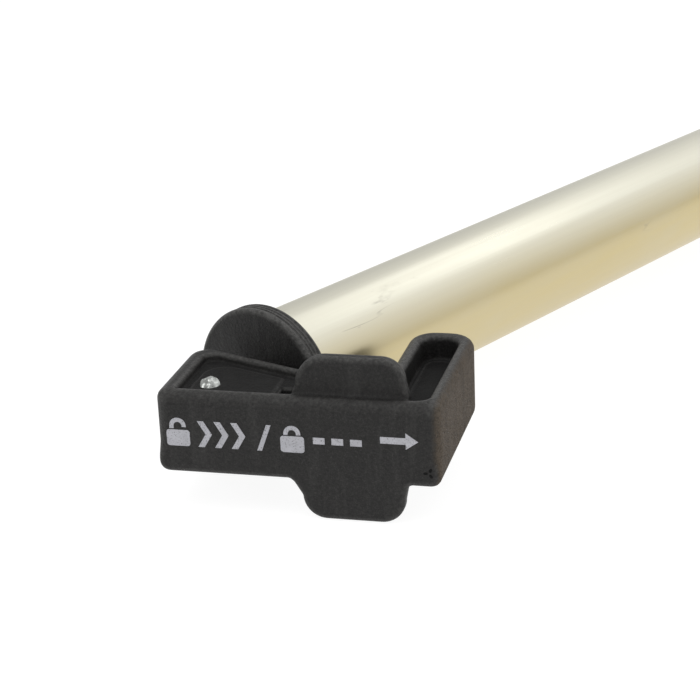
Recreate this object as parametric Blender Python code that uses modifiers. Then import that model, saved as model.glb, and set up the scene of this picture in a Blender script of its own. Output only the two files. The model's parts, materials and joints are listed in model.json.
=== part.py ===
"""Bed cargo bar: a spring-loaded telescoping steel tube with a swivelling moulded jaw on each end.

The bar lies along X with its centre at the origin and Z up. Each end fitting is modelled once, in an
end frame whose origin is the centre of the plug's flange face, with +Y pointing into the bar, and the
far end is the near end turned half a turn about Z. A jaw is modelled about its pivot, with +X along
its flat front face and +Y away from that face.
"""

import math

import bmesh
import bpy

MM = 0.001
GAP = 0.3 * MM

# Bar
FLANGE_TO_FLANGE = 1400 * MM
OUTER_TUBE_R = 20 * MM
OUTER_TUBE_WALL = 2 * MM
INNER_TUBE_WALL = 1.8 * MM
MOUTH_X = 100 * MM
OVERLAP = 200 * MM
STROKE = 100 * MM
STOP_PIN_X = -30 * MM
STOP_PIN_R = 2.5 * MM

# End plug
FLANGE_R = 24.4 * MM
FLANGE_THICKNESS = 6.4 * MM
FLANGE_ROUND = 2 * MM
RIM_GROOVE_DEPTH = 0.4 * MM
RIM_GROOVE_WIDTH = 0.6 * MM
PLUG_FLOOR = 4 * MM
SPIGOT_LENGTH = 40 * MM
SPIGOT_WALL = 4 * MM
PLUG_RIVET_DEPTH = 18 * MM
LUG_HALF_WIDTH = 6.8 * MM
LUG_TOP = 5.5 * MM
LUG_BOTTOM = -6.2 * MM

# Pivot, in the end frame, and the jaw's swing about it
PIVOT_SIDE = 5.5 * MM
PIVOT_REACH = 26.4 * MM
JAW_SWING = math.radians(25.4)

# Jaw plan, measured from the corner where its front face meets its left wall
JAW_WIDTH = 83.4 * MM
JAW_HALF_HEIGHT = 12.5 * MM
JAW_ROUND = 1.8 * MM
PIVOT_FROM_LEFT = 13.2 * MM
PIVOT_FROM_FRONT = 12 * MM
FRONT_WALL = 4.5 * MM
SIDE_WALL = 4.3 * MM
FRONT_CORNER_R = 2.8 * MM
BACK_SLOPE = math.radians(22)
BACK_KNEE = 41.5 * MM
BACK_KNEE_FROM_FRONT = 23.3 * MM
THROAT_TURN = math.radians(135)
BACK_CORNER_R = 6 * MM
BACK_CORNER_FROM_FRONT = 31.6 * MM
POCKET_LEFT = 5.8 * MM
POCKET_RIGHT = 41.3 * MM
POCKET_CORNER_R = 3.5 * MM
POCKET_DEPTH = 2.6 * MM
WEB_THICKNESS = 3.4 * MM
WEB_END = 34.5 * MM
WINDOW_DEPTH = 9 * MM
FINGER_LEFT = 63.3 * MM
FINGER_REACH = 61 * MM
FINGER_LEFT_R = 6.5 * MM
FINGER_RIGHT_R = 8 * MM
FINGER_TIP_WALL = 5.5 * MM
FINGER_POCKET_DEPTH = 8 * MM
FINGER_POCKET_R = 3.5 * MM
THROAT_R = 10 * MM
THROAT_FROM_FRONT = 25 * MM

# Tabs above and below the jaw's body
TAB_LEFT = 39.8 * MM
TAB_RIGHT = 73.8 * MM
UPPER_TAB_LEANS = (1 * MM, 1 * MM)
LOWER_TAB_LEANS = (3 * MM, 1 * MM)
TAB_R = 7 * MM
TAB_THICKNESS = 4.4 * MM
UPPER_TAB_SETBACK = 4.2 * MM
TAB_ROOT = 4 * MM

# Pivot rivet and its washers
PIVOT_RIVET_R = 2.25 * MM
PIVOT_HEAD_R = 3.4 * MM
PIVOT_HEAD_HEIGHT = 2.8 * MM
PIVOT_TAIL_R = 3.6 * MM
PIVOT_TAIL_HEIGHT = 1.1 * MM
WASHER_R = 5.5 * MM
WASHER_THICKNESS = 1 * MM
WAVE_WASHER_R = 6.2 * MM
WAVE_WASHER_THICKNESS = 0.4 * MM
BOSS_INNER_R = 4.1 * MM
BOSS_OUTER_R = 5.5 * MM
BOSS_HEIGHT = 0.8 * MM

# Tube rivets and small fasteners
RIVET_R = 1.9 * MM
RIVET_HEAD_R = 4 * MM
RIVET_HEAD_HEIGHT = 1.4 * MM
RIVET_GRIP_END = 1.2 * MM

# Collar on the mouth of the outer tube
COLLAR_LENGTH = 30 * MM
COLLAR_WALL = 2.7 * MM
COLLAR_LIP = 4 * MM
COLLAR_SCREW_DEPTH = 10 * MM
COLLAR_SCREW_REACH = 1.5 * MM

# Spring and what it bears on
GUIDE_FLANGE = 6 * MM
GUIDE_SPIGOT = 25 * MM
GUIDE_BORE_R = 4 * MM
GUIDE_PIN_DEPTH = 13 * MM
GUIDE_PIN_R = 2 * MM
SPRING_STOP_THICKNESS = 12 * MM
SPRING_LENGTH = 190 * MM
SPRING_R = 13 * MM
SPRING_WIRE_R = 1.3 * MM
SPRING_TURNS = 15

# Finishes: linear colour, roughness and metallic
NYLON_FINISH = ((0.035, 0.035, 0.036), 0.5, 0)
STEEL_FINISH = ((0.66, 0.6, 0.44), 0.32, 1)
ZINC_FINISH = ((0.72, 0.73, 0.74), 0.28, 1)

# Derived sizes
OUTER_TUBE_BORE = OUTER_TUBE_R - OUTER_TUBE_WALL
INNER_TUBE_R = OUTER_TUBE_BORE - GAP
INNER_TUBE_BORE = INNER_TUBE_R - INNER_TUBE_WALL
NEAR_TUBE_END = -FLANGE_TO_FLANGE / 2 + FLANGE_THICKNESS + GAP
FAR_TUBE_END = FLANGE_TO_FLANGE / 2 - FLANGE_THICKNESS - GAP
INNER_END_X = MOUTH_X - OVERLAP
GUIDE_FACE_X = INNER_END_X - GAP - GUIDE_FLANGE
SPRING_END_X = GUIDE_FACE_X - GAP
SPRING_START_X = SPRING_END_X - SPRING_LENGTH
SPRING_STOP_X = SPRING_START_X - GAP - SPRING_STOP_THICKNESS
WEB_TOP = JAW_HALF_HEIGHT - POCKET_DEPTH
WEB_UNDERSIDE = WEB_TOP - WEB_THICKNESS
FINGER_FLOOR = JAW_HALF_HEIGHT - FINGER_POCKET_DEPTH
TAB_HEIGHT = FLANGE_R - JAW_HALF_HEIGHT

# Turns about the bar, from straight up, at which rivets and the collar's screw go in
PLUG_RIVET_TURNS = (("lower", math.pi), ("side", -math.pi / 2))
SCREW_TURN = -math.pi / 2

# How finely curves are drawn
ARC_STEPS = 5
ROUND_STEPS = 3
DOME_STEPS = 4
BEVEL_STEPS = 2
TURN_STEPS = 40
PIN_STEPS = 20
COIL_STEPS = 12
WIRE_STEPS = 2
MERGE = 0.00001
FLAT_ANGLE = math.radians(1)
SMOOTH_ANGLE = math.radians(35)
BEVEL_ANGLE = math.radians(40)


def collection(name):
    group = bpy.data.collections.new(name)
    bpy.context.scene.collection.children.link(group)
    return group


def clear_scene():
    for obj in list(bpy.data.objects):
        bpy.data.objects.remove(obj, do_unlink=True)


def material(name, finish):
    colour, roughness, metallic = finish
    made = bpy.data.materials.new(name)
    made.use_nodes = True
    shader = made.node_tree.nodes["Principled BSDF"]
    shader.inputs["Base Color"].default_value = (*colour, 1)
    shader.inputs["Roughness"].default_value = roughness
    shader.inputs["Metallic"].default_value = metallic
    made.diffuse_color = (*colour, 1)
    return made


def arc(centre, radius, start, end, steps=ARC_STEPS):
    """Points along an arc, with its angles in radians from +X."""
    angles = [start + (end - start) * i / steps for i in range(steps + 1)]
    return [(centre[0] + radius * math.cos(a), centre[1] + radius * math.sin(a)) for a in angles]


def show(obj, finish):
    """Makes the object a sub-part: visible, in the parts' collection, with its material."""
    parts.objects.link(obj)
    obj.data.materials.append(finish)
    return obj


def hide(obj):
    """Makes the object a helper that cuts or joins another and isn't part of the bar."""
    helpers.objects.link(obj)
    obj.hide_render = True
    obj.display_type = "WIRE"
    return obj


def turned(name, profile, closed=False, steps=TURN_STEPS):
    """A turned shape about its own Z axis. The profile's (radius, height) points run down the outer side."""
    mesh = bpy.data.meshes.new(name)
    edges = [(i, i + 1) for i in range(len(profile) - 1)]
    if closed:
        edges.append((len(profile) - 1, 0))
    mesh.from_pydata([(radius, 0, height) for radius, height in profile], edges, [])
    obj = bpy.data.objects.new(name, mesh)
    screw = obj.modifiers.new("turn", "SCREW")
    screw.steps = steps
    screw.render_steps = steps
    screw.use_merge_vertices = True
    screw.merge_threshold = MERGE
    return obj


def ring(name, inner, outer, bottom, top, steps=TURN_STEPS):
    return turned(name, [(inner, top), (outer, top), (outer, bottom), (inner, bottom)], True, steps)


def rod(name, radius, bottom, top, steps=PIN_STEPS):
    return turned(name, [(0, top), (radius, top), (radius, bottom), (0, bottom)], steps=steps)


def plate(name, outline, bottom, top):
    """A flat outline in the XY plane with a thickness from bottom to top, as a mesh."""
    curve = bpy.data.curves.new(name, "CURVE")
    curve.dimensions = "2D"
    curve.fill_mode = "BOTH"
    curve.extrude = (top - bottom) / 2
    spline = curve.splines.new("POLY")
    spline.points.add(len(outline) - 1)
    for point, (x, y) in zip(spline.points, outline):
        point.co = (x, y, 0, 1)
    spline.use_cyclic_u = True
    drawn = bpy.data.objects.new(name + "_outline", curve)
    helpers.objects.link(drawn)
    graph = bpy.context.evaluated_depsgraph_get()
    mesh = bpy.data.meshes.new_from_object(drawn.evaluated_get(graph))
    bpy.data.objects.remove(drawn, do_unlink=True)
    shape = bmesh.new()
    shape.from_mesh(mesh)
    bmesh.ops.remove_doubles(shape, verts=shape.verts, dist=MERGE)
    bmesh.ops.dissolve_limit(shape, angle_limit=FLAT_ANGLE, verts=shape.verts, edges=shape.edges)
    bmesh.ops.translate(shape, verts=shape.verts, vec=(0, 0, (top + bottom) / 2))
    bmesh.ops.recalc_face_normals(shape, faces=shape.faces)
    shape.to_mesh(mesh)
    shape.free()
    return bpy.data.objects.new(name, mesh)


def upright(obj):
    """Stands a plate up, so that its outline is in the XZ plane and its thickness runs towards -Y."""
    obj.rotation_euler.x = math.pi / 2
    return obj


def boolean(target, helper, operation, parent=None):
    """Cuts the helper from the target, or joins it on, in the frame of the parent."""
    hide(helper).parent = parent
    modifier = target.modifiers.new(helper.name, "BOOLEAN")
    modifier.operation = operation
    modifier.solver = "EXACT"
    modifier.object = helper


def rounded(obj, width):
    bevel = obj.modifiers.new("rounded_edges", "BEVEL")
    bevel.width = width
    bevel.segments = BEVEL_STEPS
    bevel.limit_method = "ANGLE"
    bevel.angle_limit = BEVEL_ANGLE


def smooth(obj):
    obj.data.shade_smooth()
    obj.data.set_sharp_from_angle(angle=SMOOTH_ANGLE)


def jaw_point(from_left, from_front):
    """A point of the jaw's plan, about its pivot."""
    return (from_left - PIVOT_FROM_LEFT, from_front - PIVOT_FROM_FRONT)


def jaw_outline():
    """The jaw's plan: the clevis end on the left, and the finger reaching back on the right."""
    normal = math.pi / 2 - BACK_SLOPE
    corner = FRONT_CORNER_R
    tip_right = jaw_point(JAW_WIDTH - FINGER_RIGHT_R, FINGER_REACH - FINGER_RIGHT_R)
    tip_left = jaw_point(FINGER_LEFT + FINGER_LEFT_R, FINGER_REACH - FINGER_LEFT_R)
    throat = jaw_point(FINGER_LEFT - THROAT_R, THROAT_FROM_FRONT)
    return (
        arc(jaw_point(corner, corner), corner, math.pi, 1.5 * math.pi)
        + arc(jaw_point(JAW_WIDTH - corner, corner), corner, -math.pi / 2, 0)
        + arc(tip_right, FINGER_RIGHT_R, 0, math.pi / 2)
        + arc(tip_left, FINGER_LEFT_R, math.pi / 2, math.pi)
        + arc(throat, THROAT_R, 0, -THROAT_TURN, 2 * ARC_STEPS)
        + [jaw_point(BACK_KNEE, BACK_KNEE_FROM_FRONT)]
        + arc(jaw_point(BACK_CORNER_R, BACK_CORNER_FROM_FRONT), BACK_CORNER_R, normal, math.pi)
    )


def pocket_outline():
    """The shallow pocket above and below each web, its back one wall in from the jaw's back."""
    normal = math.pi / 2 - BACK_SLOPE
    radius = POCKET_CORNER_R
    outer_x, outer_y = jaw_point(BACK_CORNER_R, BACK_CORNER_FROM_FRONT)
    centre_x = POCKET_LEFT + radius - PIVOT_FROM_LEFT
    inwards = BACK_CORNER_R - SIDE_WALL - radius
    centre_y = outer_y + (inwards - (centre_x - outer_x) * math.cos(normal)) / math.sin(normal)
    corner = arc((centre_x, centre_y), radius, normal, math.pi)
    back_x, back_y = corner[0]
    right = POCKET_RIGHT - PIVOT_FROM_LEFT
    front = FRONT_WALL - PIVOT_FROM_FRONT
    return corner + [
        (corner[-1][0], front),
        (right, front),
        (right, back_y - (right - back_x) * math.tan(BACK_SLOPE)),
    ]


def box_outline(left, right, front, back):
    return [jaw_point(left, front), jaw_point(right, front), jaw_point(right, back), jaw_point(left, back)]


def finger_pocket_outline():
    left = FINGER_LEFT + SIDE_WALL + FINGER_POCKET_R
    right = JAW_WIDTH - SIDE_WALL + GAP - FINGER_POCKET_R
    front = FRONT_WALL + FINGER_POCKET_R
    back = FINGER_REACH - FINGER_TIP_WALL - FINGER_POCKET_R
    quarter = math.pi / 2
    return (
        arc(jaw_point(left, front), FINGER_POCKET_R, 2 * quarter, 3 * quarter)
        + arc(jaw_point(right, front), FINGER_POCKET_R, -quarter, 0)
        + arc(jaw_point(right, back), FINGER_POCKET_R, 0, quarter)
        + arc(jaw_point(left, back), FINGER_POCKET_R, quarter, 2 * quarter)
    )


def tab_outline(root, leans):
    """A tab's face: its root is sunk into the body, its sides lean in and its two corners are round."""
    left_lean, right_lean = leans
    left = TAB_LEFT - PIVOT_FROM_LEFT
    right = TAB_RIGHT - PIVOT_FROM_LEFT
    top = JAW_HALF_HEIGHT + TAB_HEIGHT
    return (
        [(left, root), (right, root), (right, JAW_HALF_HEIGHT)]
        + arc((right - right_lean - TAB_R, top - TAB_R), TAB_R, 0, math.pi / 2)
        + arc((left + left_lean + TAB_R, top - TAB_R), TAB_R, math.pi / 2, math.pi)
        + [(left, JAW_HALF_HEIGHT)]
    )


def make_tabs(prefix, jaw, frame):
    front = PIVOT_FROM_FRONT
    upper_face = UPPER_TAB_SETBACK - front
    above = tab_outline(FINGER_FLOOR - GAP, UPPER_TAB_LEANS)
    below = [(x, -z) for x, z in tab_outline(JAW_HALF_HEIGHT - TAB_ROOT, LOWER_TAB_LEANS)]
    upper = upright(plate(prefix + "_upper_tab", above, -upper_face - TAB_THICKNESS, -upper_face))
    lower = upright(plate(prefix + "_lower_tab", below, front - TAB_THICKNESS, front))
    boolean(jaw, upper, "UNION", frame)
    boolean(jaw, lower, "UNION", frame)


def make_jaw(prefix, frame, finish):
    """The jaw: a clevis at its left end, a tab above and below its middle, and a hollow finger."""
    jaw = show(plate(prefix + "_jaw", jaw_outline(), -JAW_HALF_HEIGHT, JAW_HALF_HEIGHT), finish)
    jaw.parent = frame
    rounded(jaw, JAW_ROUND)
    beyond = 2 * JAW_HALF_HEIGHT
    slot = box_outline(SIDE_WALL, POCKET_RIGHT, FRONT_WALL, FINGER_REACH)
    boolean(jaw, plate(prefix + "_clevis_slot", slot, -WEB_UNDERSIDE, WEB_UNDERSIDE), "DIFFERENCE", frame)
    window = box_outline(WEB_END, POCKET_RIGHT - GAP, FRONT_WALL + GAP, FRONT_WALL + WINDOW_DEPTH)
    boolean(jaw, plate(prefix + "_web_window", window, -beyond, beyond), "DIFFERENCE", frame)
    for side, low, high in (("upper", WEB_TOP, beyond), ("lower", -beyond, -WEB_TOP)):
        boolean(jaw, plate(f"{prefix}_{side}_pocket", pocket_outline(), low, high), "DIFFERENCE", frame)
    for side, low, high in (("upper", FINGER_FLOOR, beyond), ("lower", -beyond, -FINGER_FLOOR)):
        cutter = plate(f"{prefix}_{side}_finger_pocket", finger_pocket_outline(), low, high)
        boolean(jaw, cutter, "DIFFERENCE", frame)
    make_tabs(prefix, jaw, frame)
    boss = ring(prefix + "_boss", BOSS_INNER_R, BOSS_OUTER_R, WEB_TOP - GAP, WEB_TOP + BOSS_HEIGHT, PIN_STEPS)
    boolean(jaw, boss, "UNION", frame)
    bore = rod(prefix + "_jaw_bore", PIVOT_RIVET_R + GAP, -beyond, beyond)
    boolean(jaw, bore, "DIFFERENCE", frame)
    smooth(jaw)


def dome(radius, base, height):
    """The profile of a domed head, from its crown down to its rim."""
    sphere = (radius**2 + height**2) / (2 * height)
    span = math.asin(min(1, radius / sphere))
    angles = [span * i / DOME_STEPS for i in range(DOME_STEPS + 1)]
    return [(sphere * math.sin(a), base + height - sphere * (1 - math.cos(a))) for a in angles]


def make_pivot(prefix, jaw_frame, plug_frame, finish):
    """The rivet the jaw swings on, the washer under its peened tail and the wave washer on the lug."""
    head_base = WEB_TOP + GAP
    tail_top = -WEB_TOP - 2 * GAP - WASHER_THICKNESS
    profile = dome(PIVOT_HEAD_R, head_base, PIVOT_HEAD_HEIGHT) + [
        (PIVOT_RIVET_R, head_base),
        (PIVOT_RIVET_R, tail_top),
        (PIVOT_TAIL_R, tail_top),
        (PIVOT_TAIL_R, tail_top - PIVOT_TAIL_HEIGHT),
        (0, tail_top - PIVOT_TAIL_HEIGHT),
    ]
    rivet = show(turned(prefix + "_jaw_rivet", profile, steps=PIN_STEPS), finish)
    rivet.parent = jaw_frame
    bore = PIVOT_RIVET_R + GAP
    low = -WEB_TOP - GAP - WASHER_THICKNESS
    washer = ring(prefix + "_rivet_washer", bore, WASHER_R, low, low + WASHER_THICKNESS, PIN_STEPS)
    show(washer, finish).parent = jaw_frame
    low = LUG_TOP + GAP
    wave = ring(prefix + "_wave_washer", bore, WAVE_WASHER_R, low, low + WAVE_WASHER_THICKNESS, PIN_STEPS)
    wave.location = (PIVOT_SIDE, -PIVOT_REACH, 0)
    show(wave, finish).parent = plug_frame
    for obj in (rivet, washer, wave):
        smooth(obj)


def facing_in(obj):
    """Turns a shape's own Z axis to point into the bar, along the end frame's +Y."""
    obj.rotation_euler.x = -math.pi / 2
    return obj


def make_plug(prefix, frame, spigot_r, finish):
    """The end plug: a round flange, a hollow spigot in the tube and a lug that carries the pivot."""
    spigot_end = FLANGE_THICKNESS + SPIGOT_LENGTH
    bore = spigot_r - SPIGOT_WALL
    groove = FLANGE_THICKNESS / 2
    rim = arc((FLANGE_R - FLANGE_ROUND, FLANGE_ROUND), FLANGE_ROUND, 0, -math.pi / 2, ROUND_STEPS)
    profile = [
        (0, PLUG_FLOOR),
        (bore, PLUG_FLOOR),
        (bore, spigot_end),
        (spigot_r, spigot_end),
        (spigot_r, FLANGE_THICKNESS),
        (FLANGE_R, FLANGE_THICKNESS),
        (FLANGE_R, groove + RIM_GROOVE_WIDTH),
        (FLANGE_R - RIM_GROOVE_DEPTH, groove + RIM_GROOVE_WIDTH),
        (FLANGE_R - RIM_GROOVE_DEPTH, groove),
        (FLANGE_R, groove),
        *rim,
        (0, 0),
    ]
    plug = show(facing_in(turned(prefix + "_end_plug", profile)), finish)
    plug.parent = frame
    pivot = (PIVOT_SIDE, -PIVOT_REACH)
    root = PLUG_FLOOR / 2
    outline = arc(pivot, LUG_HALF_WIDTH, math.pi, 2 * math.pi, 2 * ARC_STEPS) + [
        (PIVOT_SIDE + LUG_HALF_WIDTH, root),
        (PIVOT_SIDE - LUG_HALF_WIDTH, root),
    ]
    boolean(plug, plate(prefix + "_lug", outline, LUG_BOTTOM, LUG_TOP), "UNION", frame)
    hole = rod(prefix + "_lug_bore", PIVOT_RIVET_R + GAP, 2 * LUG_BOTTOM, 2 * LUG_TOP)
    hole.location = (*pivot, 0)
    boolean(plug, hole, "DIFFERENCE", frame)
    for side, turn in PLUG_RIVET_TURNS:
        drill(plug, f"{prefix}_{side}_plug_hole", frame, FLANGE_THICKNESS + PLUG_RIVET_DEPTH, turn)
    smooth(plug)


def aim(obj, frame, along, turn):
    """Points a shape's own Z axis out of the bar, at a place along it and a turn about it from up."""
    obj.parent = frame
    obj.location = (0, along, 0)
    obj.rotation_euler = (0, turn, 0)
    return obj


def drill(target, name, frame, along, turn):
    hole = aim(rod(name, RIVET_R + GAP, SPIGOT_WALL, FLANGE_R, PIN_STEPS), frame, along, turn)
    boolean(target, hole, "DIFFERENCE", frame)


def make_tube_rivet(name, frame, along, turn, tube_r, grip, finish):
    """A domed rivet through a tube's wall and what sits in it; grip is how far in its shank ends."""
    base = tube_r + GAP
    profile = dome(RIVET_HEAD_R, base, RIVET_HEAD_HEIGHT) + [
        (RIVET_R, base),
        (RIVET_R, tube_r - grip),
        (0, tube_r - grip),
    ]
    rivet = show(turned(name, profile, steps=PIN_STEPS), finish)
    aim(rivet, frame, along, turn)
    smooth(rivet)


def make_end(prefix, frame, tube_r, tube_wall):
    swing = bpy.data.objects.new(prefix + "_jaw_pivot", None)
    parts.objects.link(swing)
    swing.parent = frame
    swing.location = (PIVOT_SIDE, -PIVOT_REACH, 0)
    swing.rotation_euler.z = JAW_SWING
    make_plug(prefix, frame, tube_r - tube_wall - GAP, nylon)
    make_jaw(prefix, swing, nylon)
    make_pivot(prefix, swing, frame, zinc)
    grip = tube_wall + GAP + SPIGOT_WALL + RIVET_GRIP_END
    for side, turn in PLUG_RIVET_TURNS:
        along = FLANGE_THICKNESS + PLUG_RIVET_DEPTH
        make_tube_rivet(f"{prefix}_plug_rivet_{side}", frame, along, turn, tube_r, grip, zinc)


def along_bar(obj):
    """Turns a shape's own Z axis to lie along the bar."""
    obj.rotation_euler.y = math.pi / 2
    return obj


def across_bar(obj, x):
    """Turns a shape's own Z axis to lie across the bar, level, at a place along it."""
    obj.rotation_euler.x = -math.pi / 2
    obj.location.x = x
    return obj


def stop_slot():
    """The long slot through both walls of the inner tube, in which the stop pin rides."""
    half = STOP_PIN_R + GAP
    outline = arc((STOP_PIN_X, 0), half, math.pi / 2, 1.5 * math.pi) + arc(
        (STOP_PIN_X + STROKE, 0), half, -math.pi / 2, math.pi / 2
    )
    return upright(plate("stop_slot", outline, -FLANGE_R, FLANGE_R))


def make_tubes(near, far, bar):
    outer = ring("outer_tube", OUTER_TUBE_BORE, OUTER_TUBE_R, NEAR_TUBE_END, MOUTH_X)
    inner = ring("inner_tube", INNER_TUBE_BORE, INNER_TUBE_R, INNER_END_X, FAR_TUBE_END)
    for tube in (outer, inner):
        along_bar(show(tube, steel))
    for side, turn in PLUG_RIVET_TURNS:
        depth = FLANGE_THICKNESS + PLUG_RIVET_DEPTH
        drill(outer, f"outer_tube_{side}_hole", near, depth, turn)
        drill(inner, f"inner_tube_{side}_hole", far, depth, turn)
    drill(outer, "collar_screw_hole", bar, MOUTH_X - COLLAR_SCREW_DEPTH, SCREW_TURN)
    drill(outer, "spring_stop_hole", bar, SPRING_STOP_X + SPRING_STOP_THICKNESS / 2, math.pi)
    pin_hole = across_bar(rod("stop_pin_hole", STOP_PIN_R + GAP, -FLANGE_R, FLANGE_R), STOP_PIN_X)
    boolean(outer, pin_hole, "DIFFERENCE")
    boolean(inner, stop_slot(), "DIFFERENCE")
    guide_hole = rod("guide_pin_hole", GUIDE_PIN_R + GAP, -FLANGE_R, FLANGE_R)
    boolean(inner, across_bar(guide_hole, INNER_END_X + GUIDE_PIN_DEPTH), "DIFFERENCE")
    for tube in (outer, inner):
        smooth(tube)


def make_collar(bar):
    """The collar over the outer tube's mouth, whose lip guides the inner tube, and its screw."""
    inside = OUTER_TUBE_R + GAP
    outside = inside + COLLAR_WALL
    back = MOUTH_X - COLLAR_LENGTH
    front = MOUTH_X + GAP + COLLAR_LIP
    guide = INNER_TUBE_R + GAP
    profile = [
        (guide, front),
        (outside - COLLAR_WALL / 2, front),
        (outside, front - COLLAR_WALL / 2),
        (outside, back),
        (inside, back),
        (inside, MOUTH_X + GAP),
        (guide, MOUTH_X + GAP),
    ]
    collar = along_bar(show(turned("tube_collar", profile, closed=True), nylon))
    drill(collar, "collar_hole", bar, MOUTH_X - COLLAR_SCREW_DEPTH, SCREW_TURN)
    smooth(collar)
    reach = COLLAR_WALL + GAP + COLLAR_SCREW_REACH
    make_tube_rivet("collar_screw", bar, MOUTH_X - COLLAR_SCREW_DEPTH, SCREW_TURN, outside, reach, zinc)


def make_stops(bar):
    """The stop pin, the guide plug with its pin, and the fixed stop that the spring pushes against."""
    pin = show(rod("stop_pin", STOP_PIN_R, -OUTER_TUBE_R, OUTER_TUBE_R), zinc)
    across_bar(pin, STOP_PIN_X)
    spigot = INNER_TUBE_BORE - GAP
    end = INNER_END_X + GUIDE_SPIGOT
    profile = [
        (GUIDE_BORE_R, end),
        (spigot, end),
        (spigot, INNER_END_X - GAP),
        (INNER_TUBE_R, INNER_END_X - GAP),
        (INNER_TUBE_R, GUIDE_FACE_X),
        (GUIDE_BORE_R, GUIDE_FACE_X),
    ]
    guide = along_bar(show(turned("guide_plug", profile, closed=True), nylon))
    hole = rod("guide_plug_hole", GUIDE_PIN_R + GAP, -FLANGE_R, FLANGE_R)
    boolean(guide, across_bar(hole, INNER_END_X + GUIDE_PIN_DEPTH), "DIFFERENCE")
    guide_pin = rod("guide_plug_pin", GUIDE_PIN_R, -INNER_TUBE_R + GAP, INNER_TUBE_R - GAP)
    across_bar(show(guide_pin, zinc), INNER_END_X + GUIDE_PIN_DEPTH)
    stop_end = SPRING_STOP_X + SPRING_STOP_THICKNESS
    stop = ring("spring_stop", GUIDE_BORE_R, OUTER_TUBE_BORE - GAP, SPRING_STOP_X, stop_end)
    along_bar(show(stop, nylon))
    middle = SPRING_STOP_X + SPRING_STOP_THICKNESS / 2
    drill(stop, "spring_stop_drilling", bar, middle, math.pi)
    grip = OUTER_TUBE_WALL + GAP + SPIGOT_WALL
    make_tube_rivet("spring_stop_rivet", bar, middle, math.pi, OUTER_TUBE_R, grip, zinc)
    for obj in (pin, guide, guide_pin, stop):
        smooth(obj)


def make_spring():
    """The compression spring: an open coil between the spring stop and the guide plug."""
    curve = bpy.data.curves.new("main_spring", "CURVE")
    curve.dimensions = "3D"
    curve.bevel_depth = SPRING_WIRE_R
    curve.bevel_resolution = WIRE_STEPS
    curve.use_fill_caps = True
    count = SPRING_TURNS * COIL_STEPS + 1
    spline = curve.splines.new("POLY")
    spline.points.add(count - 1)
    first = SPRING_START_X + SPRING_WIRE_R
    travel = SPRING_LENGTH - 2 * SPRING_WIRE_R
    for i, point in enumerate(spline.points):
        angle = 2 * math.pi * i / COIL_STEPS
        place = first + travel * i / (count - 1)
        point.co = (place, SPRING_R * math.cos(angle), SPRING_R * math.sin(angle), 1)
    show(bpy.data.objects.new("main_spring", curve), zinc)


def end_frame(name, x, turn):
    frame = bpy.data.objects.new(name, None)
    parts.objects.link(frame)
    frame.location.x = x
    frame.rotation_euler.z = turn
    return frame


clear_scene()
parts = collection("bed_cargo_bar")
helpers = collection("cutters")
nylon = material("black_nylon", NYLON_FINISH)
steel = material("yellow_zinc_steel", STEEL_FINISH)
zinc = material("bright_zinc", ZINC_FINISH)
near_frame = end_frame("near_end", -FLANGE_TO_FLANGE / 2, -math.pi / 2)
far_frame = end_frame("far_end", FLANGE_TO_FLANGE / 2, math.pi / 2)
bar_frame = end_frame("bar_middle", 0, -math.pi / 2)
make_end("near", near_frame, OUTER_TUBE_R, OUTER_TUBE_WALL)
make_end("far", far_frame, INNER_TUBE_R, INNER_TUBE_WALL)
make_tubes(near_frame, far_frame, bar_frame)
make_collar(bar_frame)
make_stops(bar_frame)
make_spring()
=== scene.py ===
"""Bed cargo bar: the finished looks of its jaws, end plugs, tubes, collar, rivets and spring."""

import itertools
import json
import math

import bmesh
import bpy
import numpy as np
from bpy.props import FloatProperty, FloatVectorProperty, IntProperty, PointerProperty
from mathutils import Matrix, Vector


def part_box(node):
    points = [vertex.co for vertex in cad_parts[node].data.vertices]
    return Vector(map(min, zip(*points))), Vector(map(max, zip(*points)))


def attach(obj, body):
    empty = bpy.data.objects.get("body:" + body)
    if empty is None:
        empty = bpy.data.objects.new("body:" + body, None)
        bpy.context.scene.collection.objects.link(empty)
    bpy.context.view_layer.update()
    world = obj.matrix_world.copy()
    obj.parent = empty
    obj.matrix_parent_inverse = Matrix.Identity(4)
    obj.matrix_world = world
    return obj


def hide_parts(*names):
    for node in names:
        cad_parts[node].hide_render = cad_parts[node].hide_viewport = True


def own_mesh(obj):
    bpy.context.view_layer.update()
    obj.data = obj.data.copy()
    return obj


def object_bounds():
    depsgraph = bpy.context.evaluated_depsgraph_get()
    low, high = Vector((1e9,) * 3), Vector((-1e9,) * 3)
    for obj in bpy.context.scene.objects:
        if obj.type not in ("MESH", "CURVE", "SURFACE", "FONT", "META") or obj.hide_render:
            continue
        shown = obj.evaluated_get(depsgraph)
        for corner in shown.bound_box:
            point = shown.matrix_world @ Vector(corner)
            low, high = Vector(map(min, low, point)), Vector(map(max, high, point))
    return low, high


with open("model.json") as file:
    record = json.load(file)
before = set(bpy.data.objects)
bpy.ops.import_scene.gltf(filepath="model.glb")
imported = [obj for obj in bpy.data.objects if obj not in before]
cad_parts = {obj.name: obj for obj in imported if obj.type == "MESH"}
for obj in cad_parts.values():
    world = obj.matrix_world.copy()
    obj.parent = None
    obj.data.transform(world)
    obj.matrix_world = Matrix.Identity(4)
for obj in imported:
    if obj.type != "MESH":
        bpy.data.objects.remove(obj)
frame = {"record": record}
cad_box = [list(corner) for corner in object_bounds()]

bl_info = {
    "name": "Bed cargo bar",
    "version": (1, 0, 0),
    "blender": (4, 5, 0),
    "location": "3D View > Sidebar > Cargo bar",
    "description": "Builds the bar's moulded jaws, flanged plugs, plated tubes and fasteners",
    "category": "Object",
}

MM = 0.001

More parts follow.
